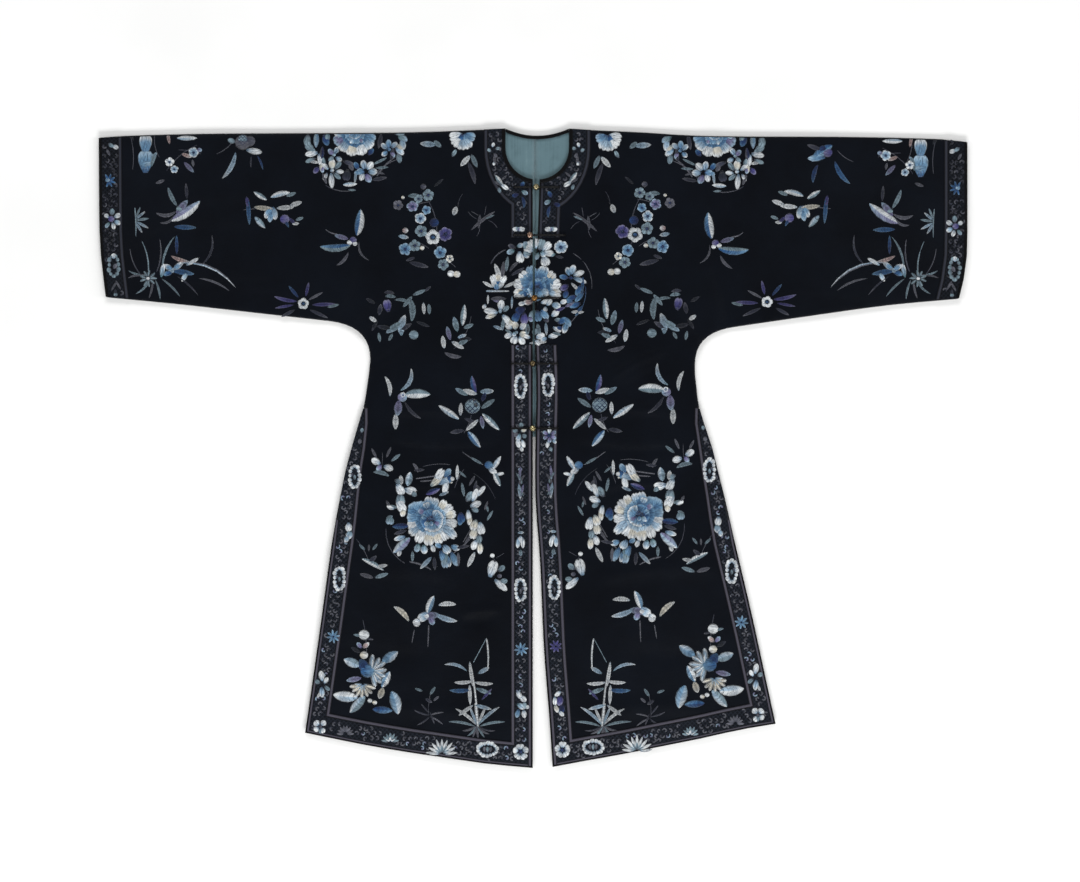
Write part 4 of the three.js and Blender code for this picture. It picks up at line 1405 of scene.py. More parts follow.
    "chest_roundel": """
line 64 62 -62 70 1.6 .16 grey
line 86 8 -106 52 1.6 .12 deep
line 77 -34 -140 56 1.6 .1 grey
line -72 42 44 36 3 .12 dusk
petal -32 66 200 14 10 teal
petal -30 70 160 14 8 dusk
petal -28 72 20 12 8 frost
petal -24 64 -84 20 14 white
petal -18 60 -30 12 8 pale
leaf -46 30 84 26 7 0 mist
leaf -40 30 46 24 6 .1 grey
leaf -38 24 30 26 6 0 dusk
leaf -54 16 112 30 9 0 white
leaf -53 18 84 30 8 0 grey
petal -58 6 62 22 13 white
petal -60 6 118 22 13 white
petal -59 8 90 24 12 cream
petal -59 4 90 15 14 blue
petal -60 2 60 18 12 white
petal -60 2 120 18 12 white
petal -62 0 90 15 13 sky
leaf -68 4 150 20 6 0 white
leaf -50 4 24 26 6 0 white
line -80 -2 0 40 4 0 frost
leaf -72 -15 0 26 9 0 grey
leaf -68 -18 -6 20 5 0 lilac
leaf -76 -8 -92 16 4 0 white
petal -80 -24 240 9 7 white
leaf -36 -10 -92 22 4 0 pale
petal -10 66 110 16 12 teal
petal -4 60 170 14 11 mist
whorl 4 64 5 22 90 70 3 14 white
petal 10 66 74 20 14 mist
petal 14 66 40 20 13 white
petal 16 62 -4 18 12 white
petal 12 64 -50 12 10 frost
petal 16 56 -70 18 16 white
petal 8 62 250 13 8 teal
plum 45 71 12 pale
petal 36 60 200 10 6 teal
leaf 36 56 -10 14 5 0 dusk
petal 66 24 20 20 10 white
petal 62 26 70 17 12 pale
petal 60 24 110 15 10 ice
petal 58 20 170 16 9 blue
petal 66 20 -20 24 9 pale
dot 62 20 3 navy
leaf 62 12 -44 22 6 0 white
petal 58 8 210 16 11 violet
petal 56 0 250 15 10 deep
leaf 82 22 -92 26 6 0 blue
petal 78 8 -110 20 11 blue
petal 84 -2 -130 24 9 mid
petal 72 -10 200 18 9 deep
petal 78 -22 -160 20 10 blue
petal 66 -20 170 16 8 mid
leaf 82 -26 -126 22 7 0 blue
leaf 62 -37 0 22 7 0 white
leaf 52 -28 20 18 6 0 lilac
whorl 6 8 0 27 0 360 7 26 mid
petal 20 -4 -7 27 18 cream
petal -8 -4 187 27 18 cream
petal 19 3 21 29 19 white
petal -7 3 159 29 19 white
petal 17 10 49 27 19 cream
petal -5 10 131 27 19 white
petal 12 17 73 25 18 ice
petal 0 17 107 25 18 sky
whorl 6 6 14 33 24 132 4 24 sky
petal 18 4 10 17 17 pale
petal -6 4 170 17 17 lilac
whorl 6 5 10 27 -8 196 6 22 mid
petal 14 14 50 11 12 ice
petal -2 16 120 11 12 pale
whorl 6 4 6 20 -10 200 5 19 sky
whorl 6 4 2 14 20 140 3 16 blue
petal 6 10 90 9 11 sky
petal -3 1 202 15 13 pale
petal 3 -2 232 13 12 ice
petal 11 0 -24 17 14 pale
petal 8 -1 -68 13 12 sky
petal -10 -4 214 11 10 blue
petal -14 -2 216 16 11 sky
petal 24 -2 -30 17 12 pale
petal -12 -8 190 20 10 white
petal 30 -8 -8 16 9 white
petal -2 -20 184 16 10 rose
petal -14 -22 190 12 8 white
petal 12 -22 20 14 9 white
petal 22 -26 60 14 11 white
petal 30 -24 -16 16 12 pale
petal 44 -22 20 12 9 white
petal 20 -28 -100 10 8 white
dot 0 -19 3 rose
petal -14 -30 206 18 14 navy
petal -24 -36 240 20 13 deep
petal -16 -38 272 20 13 violet
petal -8 -44 -60 11 8 lilac
petal 2 -34 -120 17 11 teal
petal 6 -34 -84 20 13 mid
petal 12 -34 -50 19 12 sky
petal 16 -50 -10 10 7 dusk
leaf -10 -56 268 20 8 0 teal
leaf 6 -56 282 20 8 0 teal
leaf 20 -54 -86 22 6 0 frost
leaf 34 -36 20 20 6 0 violet
petal 30 -44 40 16 11 white
petal 34 -50 0 12 7 mist
petal 40 -56 30 18 11 blue
petal 52 -46 -60 18 11 sky
petal 56 -54 -110 20 11 ice
petal 48 -62 200 14 8 deep
petal 32 -62 -30 16 8 white
leaf 30 -72 -10 16 6 0 mist
petal -56 -34 80 18 12 white
petal -52 -36 40 14 9 mist
petal -60 -38 170 24 12 white
petal -62 -40 200 20 9 cream
petal -52 -42 -50 20 12 white
petal -44 -50 -40 16 8 cream
dot -56 -36 3 teal
leaf -50 -48 262 20 7 0 teal
leaf -68 -60 -20 18 6 0 pale
leaf -48 -66 -30 14 5 0 teal
petal -36 -64 150 13 11 white
petal -30 -66 100 14 12 cream
petal -22 -66 50 14 12 white
petal -24 -74 0 13 12 cream
petal -36 -74 200 14 10 white
petal -30 -76 250 15 13 white
petal -24 -78 -60 16 12 white
petal -32 -70 260 8 7 frost
dot -29 -71 3 teal
petal -6 -80 160 12 8 white
petal 0 -76 70 12 10 mist
petal 4 -80 20 16 12 white
petal 2 -84 -40 12 9 white
petal 24 -78 10 18 10 white
petal 22 -80 200 12 9 pale
leaf -8 -89 4 30 6 0 white""",
    "lower_roundel": """
line -84 -16 -62 70 1.6 -.16 dusk
line -46 -74 -20 40 4 .06 grey
line -24 84 4 48 1.4 .06 dusk
line 60 74 -50 60 1.6 .1 dim
leaf -40 90 -60 18 6 .1 grey
leaf -38 78 4 18 6 0 dusk
line -36 64 8 44 3 0 grey
line -28 60 4 32 3 0 grey
leaf -60 70 -84 16 9 0 white
petal -66 56 -62 22 14 white
petal -70 62 -20 14 9 mist
petal -62 40 -80 22 15 mist
petal -56 36 -110 20 13 white
petal -66 30 -60 26 15 white
petal -54 14 -106 14 10 cream
rib -48 52 80 24 13 0 teal-frost
petal -54 46 -10 22 14 white
petal -44 44 -40 14 9 mist
leaf -84 28 -60 12 5 0 grey
leaf -78 20 -20 14 5 0 mist
petal -70 14 160 14 8 white
petal -77 2 -95 15 14 teal
leaf -84 -2 20 12 6 0 teal
rib -46 -14 184 28 11 0 navy-deep
leaf -50 -22 196 22 7 0 dusk
rib -44 -34 222 38 15 0 pale-lilac
petal -52 -32 196 20 9 pale
petal -60 -54 250 12 8 white
leaf -40 -56 -90 18 6 0 mist
petal -30 -44 -106 15 11 teal
petal -22 -46 -80 16 12 frost
petal -8 -46 -70 13 9 white
leaf -8 -66 226 28 8 0 pale
leaf -4 -66 -86 22 7 0 dusk
petal 8 -50 150 12 9 sky
petal 12 -46 -60 18 14 pale
petal 24 -48 -20 16 11 ice
petal 6 -56 -64 26 13 sky
petal 14 -58 -88 28 14 teal
petal 24 -58 -66 26 12 sky
petal 18 -64 -78 20 9 ice
leaf 36 -58 -88 24 6 0 grey
leaf 30 -52 10 26 6 0 dusk
line 26 -62 40 40 2 0 grey
line 44 -42 60 28 2 0 grey
petal 66 -4 -110 20 13 cream
petal 72 -8 -80 22 14 white
petal 64 -18 -104 20 14 cream
petal 70 -28 -84 16 11 mist
petal 66 -38 -110 18 12 white
petal 72 -42 -88 20 11 cream
leaf 64 -58 -116 28 9 0 white
leaf 56 -30 240 20 5 0 grey
leaf 84 -6 60 20 5 0 mist
leaf 80 12 70 16 4 0 grey
leaf 86 8 100 12 4 0 mist
petal 50 26 60 20 12 mist
petal 56 18 20 20 12 white
petal 60 26 70 24 11 white
petal 66 34 50 24 9 white
petal 58 16 -30 14 9 mist
petal 52 12 -80 22 10 white
petal 56 4 -96 18 9 cream
leaf 74 44 130 14 5 0 grey
petal 40 8 -84 18 14 deep
petal 40 0 -96 14 10 blue
leaf 42 58 -80 24 6 0 mist
leaf 54 52 60 20 5 0 grey
leaf 50 66 140 18 4 0 mist
leaf 62 44 74 18 5 0 dusk
leaf 34 62 88 26 6 0 white
petal -10 52 40 26 13 cream
petal -4 56 58 30 14 white
petal 2 56 20 26 12 pale
petal 18 62 -104 24 11 white
petal 14 66 60 18 11 sky
petal 20 72 -80 16 10 blue
dot 26 64 4 white
dot 25 58 2 cream
rib -18 38 22 26 10 0 violet-navy
leaf 4 36 22 18 6 0 frost
line 30 48 64 36 1.6 .05 dusk
whorl -9 -6 0 27 0 360 7 26 mid
petal 12 -14 -46 30 15 pale
petal 4 6 66 26 14 cream
petal 9 6 38 23 14 white
petal 13 2 14 21 15 cream
petal 12 -7 -12 24 16 white
petal 8 -14 -34 25 17 pale
petal 4 -17 -56 26 17 white
petal -2 -18 -74 29 17 cream
petal -12 -18 -92 31 19 cream
petal -21 -16 -112 30 17 white
petal -28 -12 -134 25 16 pale
petal -28 -8 -158 23 17 white
petal -28 0 180 22 27 sky
petal -29 8 162 20 22 mid
petal -32 6 106 21 24 sky
petal -24 10 86 18 18 sky
petal -15 12 82 24 15 ice
petal -6 12 76 22 14 pale
whorl -7 -10 6 26 -146 112 4 24 frost
petal -16 -12 196 16 14 pale
whorl -10 -2 12 27 92 120 4 24 mid
whorl -7 -2 10 25 -40 90 3 24 sky
petal -20 8 166 12 12 lilac
petal -14 14 112 12 13 pale
whorl -10 -5 4 19 70 190 5 19 blue
whorl -7 -5 4 20 -116 150 4 19 ice
petal -16 -2 150 10 11 sky
petal -4 0 70 13 12 pale
petal -9 0 128 12 12 mid
petal -12 -8 214 12 10 frost
petal -3 -7 -36 13 11 lilac
petal -9 -6 -90 10 8 ice""",
    "shoulder_roundel": """
line -44 -84 -12 46 2 -.1 dusk
line 30 -76 36 60 2 .08 dusk
petal -72 0 -100 20 12 mist
petal -76 -6 -70 18 11 mist
petal -70 -20 -50 14 9 mist
petal -62 -26 150 18 12 mist
petal -56 -30 190 22 11 white
petal -60 -40 200 18 8 mist
petal -54 -32 -76 22 11 white
petal -50 -46 -84 18 9 cream
leaf -72 -44 -10 18 6 0 white
rib -58 4 -92 26 10 0 teal-sky
petal -46 0 -70 20 12 deep
petal -38 2 -110 16 10 teal
rib -48 -20 -96 26 8 0 dusk-navy
petal -30 -34 130 13 9 lilac
petal -28 -32 60 13 9 pale
petal -30 -36 230 12 8 mist
petal -26 -38 -30 12 9 pale
dot -29 -34 3 teal
petal -44 -52 110 16 8 mist
petal -38 -58 140 18 9 white
petal -32 -58 90 18 12 cream
petal -28 -58 50 17 9 mist
petal -26 -62 0 14 8 white
petal -30 -64 -40 16 8 mist
petal -34 -64 -86 26 10 white
petal -40 -64 240 14 7 white
dot -32 -60 3.4 frost
petal -54 -54 230 14 9 violet
petal -48 -52 270 12 7 lilac
leaf -48 -64 -70 20 6 0 grey
petal -14 -44 -20 20 8 dusk
petal -4 -48 -60 14 8 grey
petal -6 -58 -100 20 14 dim
leaf 8 -60 -96 22 5 0 pale
rib -14 -84 4 24 8 0 white-pale
leaf -6 -92 -4 14 4 0 mist
petal 12 -58 120 14 9 blue
petal 14 -62 200 10 8 sky
petal 22 -58 100 16 11 pale
petal 26 -58 50 16 12 white
petal 28 -62 0 16 12 pale
petal 24 -66 -60 16 12 lilac
petal 20 -64 -110 14 10 white
petal 22 -62 180 14 12 sky
leaf 36 -50 26 26 5 0 mist
leaf 40 -56 4 22 5 0 mist
leaf 40 -62 -14 16 4 0 grey
leaf 34 -76 10 26 7 0 dusk
line 42 -70 46 46 4 .06 grey
leaf 66 -44 80 24 7 0 dusk
petal 28 -34 50 14 9 deep
petal 60 -24 140 14 9 pale
petal 62 -22 90 14 10 sky
petal 66 -22 40 14 9 pale
petal 60 -28 220 12 9 ice
petal 66 -28 -60 12 8 lilac
dot 63 -25 3 mid
petal 74 -22 -40 18 11 pale
petal 78 -30 -80 18 10 mist
petal 72 2 10 18 13 mist
petal 78 -2 -30 18 12 teal
petal 84 -6 -80 20 11 pale
petal 76 -16 -50 16 9 cream
leaf 50 2 -100 26 8 0 dusk
whorl 6 4 0 26 180 180 5 26 mid
petal -13 0 188 16 18 pale
petal -11 -4 212 21 20 lilac
petal -5 -9 236 23 20 pale
petal 3 -11 262 26 20 cream
petal 13 -11 284 25 20 white
petal 21 -7 308 21 20 pale
petal 25 -3 332 17 18 sky
petal 25 2 352 14 14 sky
whorl 6 2 10 26 -170 160 5 21 mid
whorl 6 2 6 20 -160 140 5 17 sky
whorl 6 4 2 14 -170 160 4 14 ice
petal 2 -6 -110 10 7 pale
petal 14 -6 -60 10 7 lilac""",
    "neck_petals": """
petal -1 8 70 8 6 white
petal 4 5 10 8 6 mist
petal -3 0 140 8 6 mist
petal 2 -2 -60 9 6 grey
leaf 2 -6 -86 14 5 0 grey
petal 1 -17 -80 6 5 white""",
    "neck_sprig": """
rib -8 14 -54 22 8 0 mist-white
leaf -10 4 -30 14 5 0 grey
leaf 2 6 40 12 4 0 grey
petal 1 -1 -34 16 8 white
petal -3 -6 -70 10 6 mist""",
    "neck_curl": """
petal 0 6 60 12 8 deep
petal 2 1 -30 12 8 teal
petal -3 -4 200 12 8 navy
leaf 2 -8 -80 20 6 .1 deep""",
    "neck_fan": """
petal 0 -1 172 11 8 white
petal 0 -1 8 11 8 white
petal 0 -3 134 9 7 mist
petal 0 -3 46 9 7 white
petal 0 -3 90 7 6 lilac""",
    "oval_wreath": """
wreath 0 0 14 38 13 white
petal 0 -7 90 9 4 grey
petal 1 -2 60 9 4 dusk""",
    "side_wreath": """
wreath 0 0 15 38 13 white
petal 0 -6 90 9 5 mist
petal -1 0 130 7 4 dusk""",
    "mist_cluster": """
petal 2 17 90 10 9 mist
petal -3 12 160 10 9 mist
petal 2 12 30 10 8 cream
petal -2 8 200 9 8 grey
petal 3 6 -20 9 8 mist
petal 0 8 -110 14 9 frost
petal -4 0 -80 16 9 white
petal 3 -2 -70 14 8 white
petal 2 -12 -80 10 7 white""",
    "broken_flower": """
whorl 0 2 3 13 90 300 6 7 lilac
petal 2 -8 -80 12 7 white
petal -5 -6 220 9 6 pale
petal 0 4 90 12 7 white
petal -2 -17 -95 8 6 mist
dot 0 1 3 navy""",
    "twigs": """
leaf 0 26 -95 24 5 0 lilac
leaf -8 15 -62 22 5 .1 mist
leaf 8 12 -118 22 5 -.1 grey
leaf -3 -2 -84 28 6 0 pale
leaf 5 -4 -104 24 5 0 lilac
leaf -6 -10 -50 18 5 0 mist""",
    "bud_pair": """
leaf -5 13 4 11 5 0 frost
leaf 0 -15 -88 11 7 0 teal
petal -3 6 -96 19 8 pale
petal 3 6 -86 19 8 white
petal 0 8 -90 12 9 white""",
    "arms": """
rays 0 0 1 12 8 360 8 4.4 .6 sky""",
    "violet_arms": """
rays 0 0 1 11 20 360 8 4.4 .6 violet""",
    "white_cluster": """
petal -7 24 -62 16 9 white
petal -2 15 -40 14 10 white
petal 4 6 -74 13 8 mist
petal -7 2 -30 16 10 frost
petal 6 -4 10 8 7 white
petal -4 -7 -104 15 9 sky
petal 4 -8 -82 14 9 white""",
    "crescent": """
petal -4 14 -80 18 12 violet
petal -6 0 -90 16 10 navy
petal -4 21 -40 13 8 white
petal 6 12 -92 15 8 white
petal 6 -1 -112 15 8 cream
petal -1 -12 -134 12 8 white""",
    "corner_ring": """
whorl 0 0 4 14 20 360 5 13 white
dot 0 0 3.4 navy""",
    "hem_oval": """
wreath 0 0 40 18 14 white
petal -5 -4 92 9 5 grey
petal 0 -5 90 10 5 mist
petal 5 -4 88 9 5 grey""",
    "hem_fan": """
rays 0 -12 5 27 6 168 9 6 .8 white
rays 0 -11 2 15 26 128 5 6 .7 mist""",
    "hem_lotus": """
rays 0 -7 3 15 8 164 7 5 .8 mist
rays 0 -7 1 9 30 120 3 5 .7 white""",
    "grey_lotus": """
rays 0 -7 3 15 0 180 8 5 .8 grey""",
    "hem_flower": """
whorl 0 0 3 13 50 250 4 11 white
petal 0 -2 -80 10 8 mist
dot 0 0 3 dusk""",
    "vent_bud": """
petal 1 4 80 8 6 mist
petal -1 -6 -100 9 7 grey""",
    "side_petals": """
petal -1 13 -86 16 12 white
petal 2 0 -100 15 12 frost
petal -2 -9 -110 12 9 pale""",
    "side_cluster": """
petal 1 6 100 18 10 white
petal -3 2 150 10 8 mist
petal 4 2 60 12 8 white
petal -1 -4 -84 18 10 pale
petal 4 -2 -40 12 7 mist
leaf -2 -12 -120 12 5 0 white""",
    "cuff_top": """
petal -5 6 -34 11 7 mist
petal 2 2 -22 11 8 white
leaf -8 -4 -60 12 5 0 grey""",
    "cuff_star": """
rays 0 0 1 12 -110 230 6 4.4 .6 blue
dot -2 1 4 sky""",
    "cuff_flower": """
petal 1 6 86 12 9 mist
petal 5 3 25 12 9 white
petal 5 -3 -28 12 9 pale
petal 2 -6 -75 12 8 white
petal -4 3 150 9 8 white
petal -3 -6 -130 11 7 teal
dot 0 0 5.4 violet""",
    "cuff_ring": """
wreath 0 0 14 36 11 mist
petal 0 12 90 9 9 white
petal 0 -5 60 10 7 grey""",
    "cuff_sprig": """
leaf 0 10 -60 18 4 0 grey
leaf 2 8 -120 18 4 0 grey
leaf 0 -4 -90 14 5 0 dusk
petal 0 -10 -90 7 7 mist""",
}

# Each motif and its middle in mm: on the left half, and on the right half, where it is mirrored.
MOTIFS = [
    ("blue_butterfly", -306, 351, 310, 346),
    ("white_butterfly", -587, 399, 592, 395),
    ("sprig", -656, 376, 661, 374),
    ("bouquet", -436, 396, 449, 398),
    ("orchid", -634, 289, 634, 289),
    ("underarm", -383, 241, 390, 244),
    ("plum_spray", -167, 352, 170, 356),
    ("insect", -85, 378, 88, 376),
    ("grass_cluster", -223, 221, 222, 224),
    ("leaf_sprig", -122, 196, 127, 207),
    ("crane", -218, 88, 222, 97),
    ("pomegranate", -101, 70, 111, 72),
    ("bird", -70, -34, 72, -34),
    ("small_flowers", -253, -30, 252, -16),
    ("lower_roundel", -161, -115, 168, -107),
    ("leaf_cluster", -266, -190, 272, -180),
    ("ring_flowers", -64, -205, 75, -202),
    ("small_butterfly", -182, -278, 186, -270),
    ("chrysanthemum", -262, -369, 280, -359),
    ("dim_sprig", -174, -427, 196, -430),
    ("bamboo", -102, -420, 125, -420),
]
# Motifs that run over the fold along the shoulder.
FOLDED_MOTIFS = {
    "left": [("gourd", -646, 493), ("blossoms", -572, 491), ("fold_butterfly", -480, 508),
             ("shoulder_roundel", -303, 523), ("fold_flower", -119, 512)],
    "right": [("gourd", 646, 486), ("blossoms", 594, 486), ("blue_wing", 489, 491),
              ("shoulder_roundel", 308, 521), ("fold_flower", 127, 510)],
}
CHEST = (1, 264)
# The same for what is sewn on the borders.
BORDER_MOTIFS = [
    ("neck_petals", -67, 494, 76, 494),
    ("neck_sprig", -55, 441, 65, 446),
    ("neck_curl", -21, 428, 31, 412),
    ("neck_fan", -24, 365, 30, 365),
    ("oval_wreath", -21, 103, 25, 106),
    ("twigs", -21, -56, 29, -54),
    ("bud_pair", -21, -154, 34, -152),
    ("oval_wreath", -21, -236, 35.5, -233),
    ("corner_ring", -21, -506, 49, -503),
    ("hem_oval", -76, -502, 100, -498),
    ("hem_fan", -152, -498, 173, -493),
    ("hem_lotus", -238, -482, 262, -471),
    ("grey_lotus", -313, -469, 337, -452),
    ("hem_flower", -355, -464, 375, -444),
    ("vent_bud", -287, 22, 285, 26),
    ("side_wreath", -297.5, -47, 294, -37),
    ("side_petals", -307, -137, 308, -127),
    ("side_wreath", -323, -217, 331, -205),
    ("arms", -333, -314, 347, -290),
    ("side_cluster", -352, -394, 371, -382),
    ("cuff_top", -703, 502, 706, 495),
    ("cuff_star", -707, 446, 706, 433),
    ("cuff_flower", -703, 382, 704, 370),
    ("cuff_ring", -699, 304, 703, 299),
    ("cuff_sprig", -696, 270, 698, 269),
]
# What differs between the two borders down the front.
FRONT_MOTIFS = {
    "left": [("mist_cluster", -22, 16), ("arms", -20, -335), ("white_cluster", -20, -428)],
    "right": [("broken_flower", 27, 20), ("violet_arms", 38, -330), ("crescent", 42, -426)],
}

# ---------------------------------------------------------------- the embroidery in place

FLOSS = thread_material()
FIELD_GROUND = FRONT_TOP / MM
BAND_GROUND = (BAND_BASE - SEAT) / MM + BAND_RINGS[-1][1]
FOLD_MARGIN = 2.2  # mm, how far from the folded edge the stitches end
BINDING_RISE = 1.45 * MM  # how far the front binding lies above the satin
BINDING_REACH = (2.2 * MM, 9.0 * MM)  # how far from the front edge the stitches slope down again
PARTING = 0.1  # mm, how far from the front edge the roundel is parted
FOLD_SPAN = 30  # mm, from a motif's middle to where the slope of the fold is taken, on each side


def drawn(name, x, y, flip, ground=FIELD_GROUND, level=0.0):
    silk = Silk(ground)
    pen = Pen(silk, x, y, flip)
    pen.level = level
    pen.rows(CHARTS[name])
    return silk


def drawn_pairs(motifs, side, *more):
    """The motifs of one side from a list that places each on either side."""
    flip = side == "right"
    for name, left_x, left_y, right_x, right_y in motifs:
        yield drawn(name, *((right_x, right_y) if flip else (left_x, left_y)), flip, *more)


def crossings(node, share, axis, at):
    """Where the outline of a CAD node crosses a line, x = at or y = at, in mm."""
    loop = outline(node, share) / MM
    starts, ends = loop, np.roll(loop, -1, 0)
    spans = (starts[:, axis] > at) != (ends[:, axis] > at)
    starts, ends = starts[spans], ends[spans]
    part = (at - starts[:, axis]) / (ends[:, axis] - starts[:, axis])
    return starts[:, 1 - axis] + part * (ends[:, 1 - axis] - starts[:, 1 - axis])


def cut_at_fold(silk, side, x):
    """The silk without what would lie past the folded edge, near x in mm."""
    ends = (x - FOLD_SPAN, x + FOLD_SPAN)
    near, far = (complex(at, max(crossings(f"body_{side}", FRONT_LAYER, 0, at))) for at in ends)
    upwards = (far - near) * 1j / abs(far - near)
    return silk.cut(near - FOLD_MARGIN * upwards, upwards)


def field_embroidery(side):
    silk = Silk(FIELD_GROUND)
    for motif in drawn_pairs(MOTIFS, side):
        silk.take(motif)
    for name, x, y in FOLDED_MOTIFS[side]:
        silk.take(cut_at_fold(drawn(name, x, y, side == "right"), side, x))
    silk.piece(f"embroidery_{side}", FLOSS)


def chest_embroidery():
    """The roundel over the front opening: worked in one, then parted at the two edges."""
    whole = drawn("chest_roundel", *CHEST, False)
    for side, beyond in (("left", 1), ("right", -1)):
        edge = beyond * max(beyond * crossings(f"front_binding_{side}", HALFWAY, 1, CHEST[1]))
        half = whole.cut(complex(edge - PARTING * beyond, 0), complex(beyond, 0))

        def over_binding(points, edge=edge * MM):
            start, end = BINDING_REACH
            share = np.clip((np.abs(points[:, 0] - edge) - start) / (end - start), 0, 1)
            return BINDING_RISE * (1 - eased(share))

        half.piece(f"chest_roundel_{side}", FLOSS, over_binding)


SCROLL_SPACING = 9.4  # mm, along a row
SCROLL_ROW = 0.87 * SCROLL_SPACING
SCROLL_MARGIN = 3.6  # mm, the least distance of a curl's middle from the band's edge
SCROLL_RADIUS = (3.6, 4.8)  # mm, the range of them
SCROLL_WIDTH = 1.5  # mm, half the width of a curl's cord
SCROLL_RISE = 0.22  # mm
SCROLL_POINTS = 10
MOTIF_ROOM = (11.0, 18.0)  # mm across and along, the bare oval round each motif of a border
OVER_SCROLLS = 0.22  # mm, how far above the band its motifs start
SCROLL_TONES = {
    "collar_band": "dusk grey dusk dim dim", "cuff_band": "dim dim dusk dim",
    "": "grey dusk dusk grey dusk lilac dusk",  # on all the other bands
}


def scrolls(silk, name, side, motifs):
    """Couched curls all over a border band, but for the oval round each motif."""
    tones = SCROLL_TONES.get(name, SCROLL_TONES[""]).split()
    loop = outline(f"{name}_{side}") / MM
    spots = staggered(loop, SCROLL_SPACING, SCROLL_ROW)
    gap, inside = edge_distance(spots, loop)
    room = np.array(MOTIF_ROOM[::-1] if name == "hem_band" else MOTIF_ROOM)
    for spot in spots[inside & (gap > SCROLL_MARGIN)]:
        if any(np.hypot(*((spot - motif) / room)) < 1 for motif in motifs):
            continue
        radius, turn = random.uniform(*SCROLL_RADIUS), random.uniform(0, 2 * math.pi)
        shade = shade_of(random.choice(tones), 0.4)
        curl = [cmath.rect(radius * (0.25 + 0.075 * i), turn + 0.52 * i) for i in range(SCROLL_POINTS)]
        spine = [complex(*spot) + place for place in curl]
        silk.pad(spine, [SCROLL_WIDTH] * (SCROLL_POINTS - 2), shade, SCROLL_RISE, 3, 0, False)


def border_embroidery(side):
    """Each border's curls, and over them its motifs."""
    silk = Silk(BAND_GROUND)
    own = 3 if side == "right" else 1
    motifs = [motif[own : own + 2] for motif in BORDER_MOTIFS]
    motifs += [motif[1:] for motif in FRONT_MOTIFS[side]]
    for name in ("collar_band", "front_band", "hem_band", "side_band", "cuff_band"):
        scrolls(silk, name, side, motifs)
    for motif in drawn_pairs(BORDER_MOTIFS, side, BAND_GROUND, OVER_SCROLLS):
        silk.take(motif)
    for name, x, y in FRONT_MOTIFS[side]:
        silk.take(drawn(name, x, y, side == "right", BAND_GROUND, OVER_SCROLLS))
    silk.piece(f"border_embroidery_{side}", FLOSS)


for side in SIDES:
    field_embroidery(side)
    border_embroidery(side)
chest_embroidery()

# ---------------------------------------------------------------- the fastenings

BRASSES = [
    # bright, dull: the five buttons from the neck down, which aren't quite alike
    ("D9CDA6", "8E8560"), ("D8B7A2", "8F6F5F"), ("D09A5B", "845A2C"), ("8A7A5C", "4A4030"),
    ("DCCFA0", "90835A"),
]
CORD_RADIUS = 0.8 * MM
CORD_SIDES = 8
STRAP_HALF, LOOP_HALF = 0.82 * MM, 0.85 * MM  # from the middle of a strap or a loop to that of its cord
STRAP_STEPS = 12
STRAP_DRAW = 0.25  # the share of STRAP_HALF by which a strap's cords draw together at the ball
LOOP_RADIUS = 4.75 * MM
LOOP_LEG_STEPS, LOOP_STEPS = 10, 24
BALL_RINGS, BALL_SIDES = 24, 40
PETAL_DEPTH, GIRDLE_DEPTH, GIRDLE_WIDTH = 0.045, 0.05, 0.09  # shares of the ball's radius
SHANK_RADIUS, SHANK_SIDES = 1.3 * MM, 12


def tube(path, radius, sides=CORD_SIDES):
    """Points and faces of a closed tube along a path."""
    path = [Vector(p) for p in path]
    points = []
    for i, place in enumerate(path):
        way = (path[min(i + 1, len(path) - 1)] - path[max(i - 1, 0)]).normalized()
        side = way.cross(Vector((0, 0, 1))).normalized()
        up = side.cross(way)
        for k in range(sides):
            angle = 2 * math.pi * k / sides
            points.append(place + side * (radius * math.cos(angle)) + up * (radius * math.sin(angle)))
    return points, ring_faces(0, len(path), sides) + end_faces(0, len(path), sides)


def centre_of(node):
    low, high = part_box(node)
    return (low + high) / 2


def strap_piece(number):
    """Two satin cords side by side, sewn down at the far end and drawn in at the ball."""
    low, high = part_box(f"strap_{number}")
    middle = centre_of(f"strap_{number}")
    points, faces = [], []
    for hand in (-1, 1):
        path = []
        for i in range(STRAP_STEPS + 1):
            x = low.x + CORD_RADIUS + (high.x - low.x - 1.2 * CORD_RADIUS) * i / STRAP_STEPS
            y = middle.y + hand * STRAP_HALF * (1 - STRAP_DRAW * (i / STRAP_STEPS) ** 3)
            path.append((x, y, STRAP_BASE + CORD_RADIUS))
        more, sides = tube(path, CORD_RADIUS)
        faces += shifted(sides, len(points))
        points += more
    piece = mesh_piece(f"strap_{number}_cord", draped(points, 1), faces, STRAP)
    stands_for(piece, "strap", f"strap_{number}")


def loop_piece(number):
    """One satin cord: out along the strap, round the ball's neck and back."""
    _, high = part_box(f"loop_{number}")
    middle = centre_of(f"button_{number}")
    end = high.x - CORD_RADIUS
    turn = math.asin(LOOP_HALF / LOOP_RADIUS)
    leg = [
        (end + (middle.x + LOOP_RADIUS - end) * i / LOOP_LEG_STEPS, middle.y + LOOP_HALF)
        for i in range(LOOP_LEG_STEPS)
    ]
    bow = []
    for i in range(LOOP_STEPS + 1):
        angle = turn + (2 * math.pi - 2 * turn) * i / LOOP_STEPS
        bow.append((middle.x + LOOP_RADIUS * math.cos(angle), middle.y + LOOP_RADIUS * math.sin(angle)))
    path = leg + bow + [(x, 2 * middle.y - y) for x, y in leg[::-1]]
    points, faces = tube([(x, y, STRAP_BASE + CORD_RADIUS) for x, y in path], CORD_RADIUS)
    piece = mesh_piece(f"loop_{number}_cord", draped(points, 1), faces, STRAP)
    stands_for(piece, "strap", f"loop_{number}")


